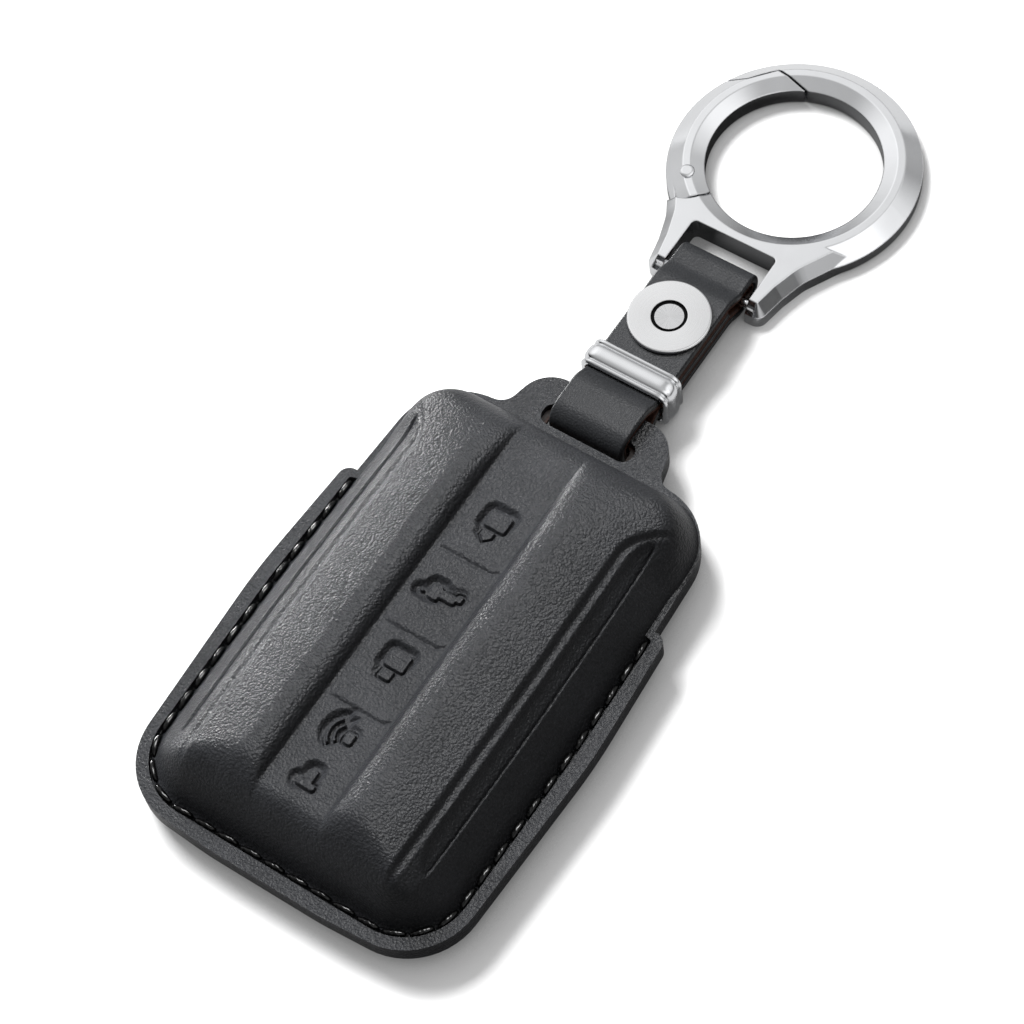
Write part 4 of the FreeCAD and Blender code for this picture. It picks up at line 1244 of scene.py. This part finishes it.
@dataclass(frozen=True)
class View:
    """The photograph's camera."""

    lens: float = 106.48
    sensor: float = 36.0
    clip_end: float = 10.0
    place: Point3 = (0.137892, -0.123325, 0.366217)
    right: Point3 = (0.82871, 0.55134, -0.09626)
    up: Point3 = (-0.44559, 0.75402, 0.48260)
    ahead: Point3 = (-0.33866, 0.35704, -0.87054)

    def build(self) -> None:
        """Add the camera and make it the scene's."""
        data = bpy.data.cameras.new("photo_camera")
        data.lens = self.lens
        data.sensor_width = self.sensor
        data.clip_end = self.clip_end
        camera = bpy.data.objects.new("photo_camera", data)
        bpy.context.scene.collection.objects.link(camera)
        turn = Matrix((self.right, self.up, [-c for c in self.ahead])).transposed().to_4x4()
        turn.translation = Vector(self.place)
        camera.matrix_world = turn
        bpy.context.scene.camera = camera


@dataclass(frozen=True)
class Lamp:
    """A soft box that looks at the object."""

    name: str
    place: Point3
    width: float
    depth: float
    watts: float
    sheen_only: bool = False
    aim: Point3 = (0.0, 0.03, 0.005)

    def build(self, leather: bpy.types.Collection) -> None:
        """Add the lamp.

        Args:
            leather: pieces that a lamp for sheen lights.
        """
        data = bpy.data.lights.new(self.name, "AREA")
        data.shape = "RECTANGLE"
        data.size = self.width
        data.size_y = self.depth
        data.energy = self.watts
        lamp = bpy.data.objects.new(self.name, data)
        bpy.context.scene.collection.objects.link(lamp)
        if self.sheen_only:
            lamp.visible_diffuse = False
            lamp.light_linking.receiver_collection = leather
        else:
            lamp.visible_glossy = False
        way = Vector(self.aim) - Vector(self.place)
        lamp.location = self.place
        lamp.rotation_euler = way.to_track_quat("-Z", "Y").to_euler()


@dataclass(frozen=True)
class Glow:
    """A soft bright patch of the surroundings."""

    way: Point3
    start: float
    end: float
    level: float


@dataclass(frozen=True)
class Studio:
    """Floor, lamps, surroundings and camera."""

    lamps: tuple[Lamp, ...] = (
        Lamp("key_box", (-0.57, 0.25, 0.67), 0.42, 0.42, 17.5),
        Lamp("sheen_box", (-0.86, 0.33, 0.05), 0.36, 0.09, 17.0, True),
        Lamp("sheen_roof", (0.0, 0.34, 0.83), 0.44, 0.4, 18.0, True),
    )
    glows: tuple[Glow, ...] = (
        Glow((0.0, 0.0, 1.0), 0.0, 1.0, 0.62),
        Glow((-0.8, 0.3, 0.5), 0.6, 1.0, 0.95),
        Glow((0.75, 0.36, 0.6), 0.78, 1.0, 0.85),
        Glow((0.1, 0.95, 0.2), 0.75, 1.0, 0.5),
        Glow((0.55, -0.5, 0.67), 0.88, 1.0, 0.5),
        Glow((0.83, -0.3, 0.45), 0.8, 0.98, 0.6),
    )
    ambient: float = 0.15
    floor_half: float = 4.0
    ring_middle: Point3 = (0.0, 0.091, 0.0)
    # Floor: light that it throws back, its glow, and the reach of the painted shadow under the
    # object
    bounce: float = 0.2
    bounce_glow: float = 0.14
    painted_shadow_reach: float = 0.008
    # Ranges, to light: from distance to the ring (painted shade that the ring mirrors), from
    # openness (painted shadow under the object) and from distance to the middle
    painted_ring_shade_span: Span = (0.015, 0.026, 0.06, 0.5)
    painted_shadow_span: Span = (0.2, 0.92, 0.14, 0.95)
    glow_span: Span = (0.3, 0.7, 0.44, 1.05)

    def paper(self, nodes: Nodes) -> Inputs:
        """White paper: painted shadow close under the object, and painted shade where the ring
        mirrors it.

        Args:
            nodes: the material's nodes.

        Returns:
            Inputs of the principled surface.
        """
        ray = nodes.add("LightPath")
        place = nodes.add("TexCoord")["Object"]
        # Painted shade in the ring: mirrored rays see the floor dim close to the ring's middle
        apart = nodes.add("VectorMath", {0: place, 1: self.ring_middle}, operation="DISTANCE")
        painted_ring_shade = nodes.add("MapRange", dict(zip(RANGE, (apart["Value"], *self.painted_ring_shade_span))))
        thrown = nodes.add("Mix", {"Factor": ray["Is Glossy Ray"], "A": self.bounce,
                                   "B": painted_ring_shade["Result"]})
        # Painted contact shadow: the floor that the camera sees grows darker where the object
        # closes it in
        near = nodes.add("AmbientOcclusion", {"Distance": self.painted_shadow_reach}, samples=8)
        painted_shadow = nodes.add("MapRange", dict(zip(RANGE, (near["AO"], *self.painted_shadow_span))))
        level = nodes.add("Mix", {"Factor": ray["Is Camera Ray"], "A": thrown[0],
                                  "B": painted_shadow["Result"]})[0]
        away = nodes.add("VectorMath", {0: place}, operation="LENGTH")
        seen = nodes.add("MapRange", dict(zip(RANGE, (away["Value"], *self.glow_span))))
        glow = nodes.add("Mix", {"Factor": ray["Is Camera Ray"], "A": self.bounce_glow,
                                 "B": seen["Result"]})
        strength = nodes.add("Math", {0: level, 1: glow[0]}, operation="MULTIPLY")
        return {"Base Color": level, "Roughness": 0.9, "Specular IOR Level": 0.0,
                "Emission Color": WHITE, "Emission Strength": strength[0]}

    def floor(self) -> None:
        """Pale plain floor."""
        mesh = bmesh.new()
        bmesh.ops.create_grid(mesh, x_segments=1, y_segments=1, size=self.floor_half)
        data = bpy.data.meshes.new("floor")
        mesh.to_mesh(data)
        mesh.free()
        floor = bpy.data.objects.new("floor", data)
        bpy.context.scene.collection.objects.link(floor)
        data.materials.append(make_material("paper_sweep_white", self.paper))

    def surroundings(self) -> None:
        """Soft room with bright patches, as the metal shows; weaker for all but mirrored light."""
        world = bpy.data.worlds.new("studio")
        world.use_nodes = True
        bpy.context.scene.world = world
        nodes = Nodes(world.node_tree)
        place = nodes.add("TexCoord")["Generated"]
        total: float | bpy.types.NodeSocket = 0.0
        for glow in self.glows:
            facing = nodes.add("VectorMath", {0: place, 1: Vector(glow.way).normalized()},
                               operation="DOT_PRODUCT")
            limits = (facing["Value"], glow.start, glow.end, 0.0, glow.level)
            lobe = nodes.add("MapRange", dict(zip(RANGE, limits)), interpolation_type="SMOOTHSTEP")
            total = nodes.add("Math", {0: total, 1: lobe["Result"]}, operation="ADD")[0]
        ray = nodes.add("LightPath")
        seen = nodes.add("Mix", {"Factor": ray["Is Camera Ray"], FIRST_COLOUR: total,
                                 SECOND_COLOUR: WHITE}, data_type="RGBA")
        direct = nodes.add("Math", {0: ray["Is Glossy Ray"], 1: ray["Is Camera Ray"]},
                           operation="MAXIMUM")
        strength = nodes.add("MapRange", {"Value": direct[0], "To Min": self.ambient})
        room = nodes.add("Background", {"Color": seen[MIXED_COLOUR],
                                        "Strength": strength["Result"]})
        nodes.add("OutputWorld", {"Surface": room["Background"]})

    def build(self) -> None:
        """Make the studio."""
        self.floor()
        self.surroundings()
        leather = bpy.data.collections.new("leather")
        for piece in bpy.context.scene.collection.objects:
            if piece.type != "MESH":
                continue
            names = [material.name for material in piece.data.materials if material]
            if any("leather" in name or "thread" in name for name in names):
                leather.objects.link(piece)
        for lamp in self.lamps:
            lamp.build(leather)
        View().build()
        bpy.context.scene.view_settings.view_transform = "Standard"


def main() -> None:
    """Build the looks and the studio."""
    logging.basicConfig(level=logging.INFO, format="%(name)s: %(message)s")
    for assembly in (Cover(), Strap(), Keeper(), Stud(), Ring()):
        LOG.info("building the %s", type(assembly).__name__.lower())
        assembly.build()
    Studio().build()


if __name__ == "__main__":
    main()
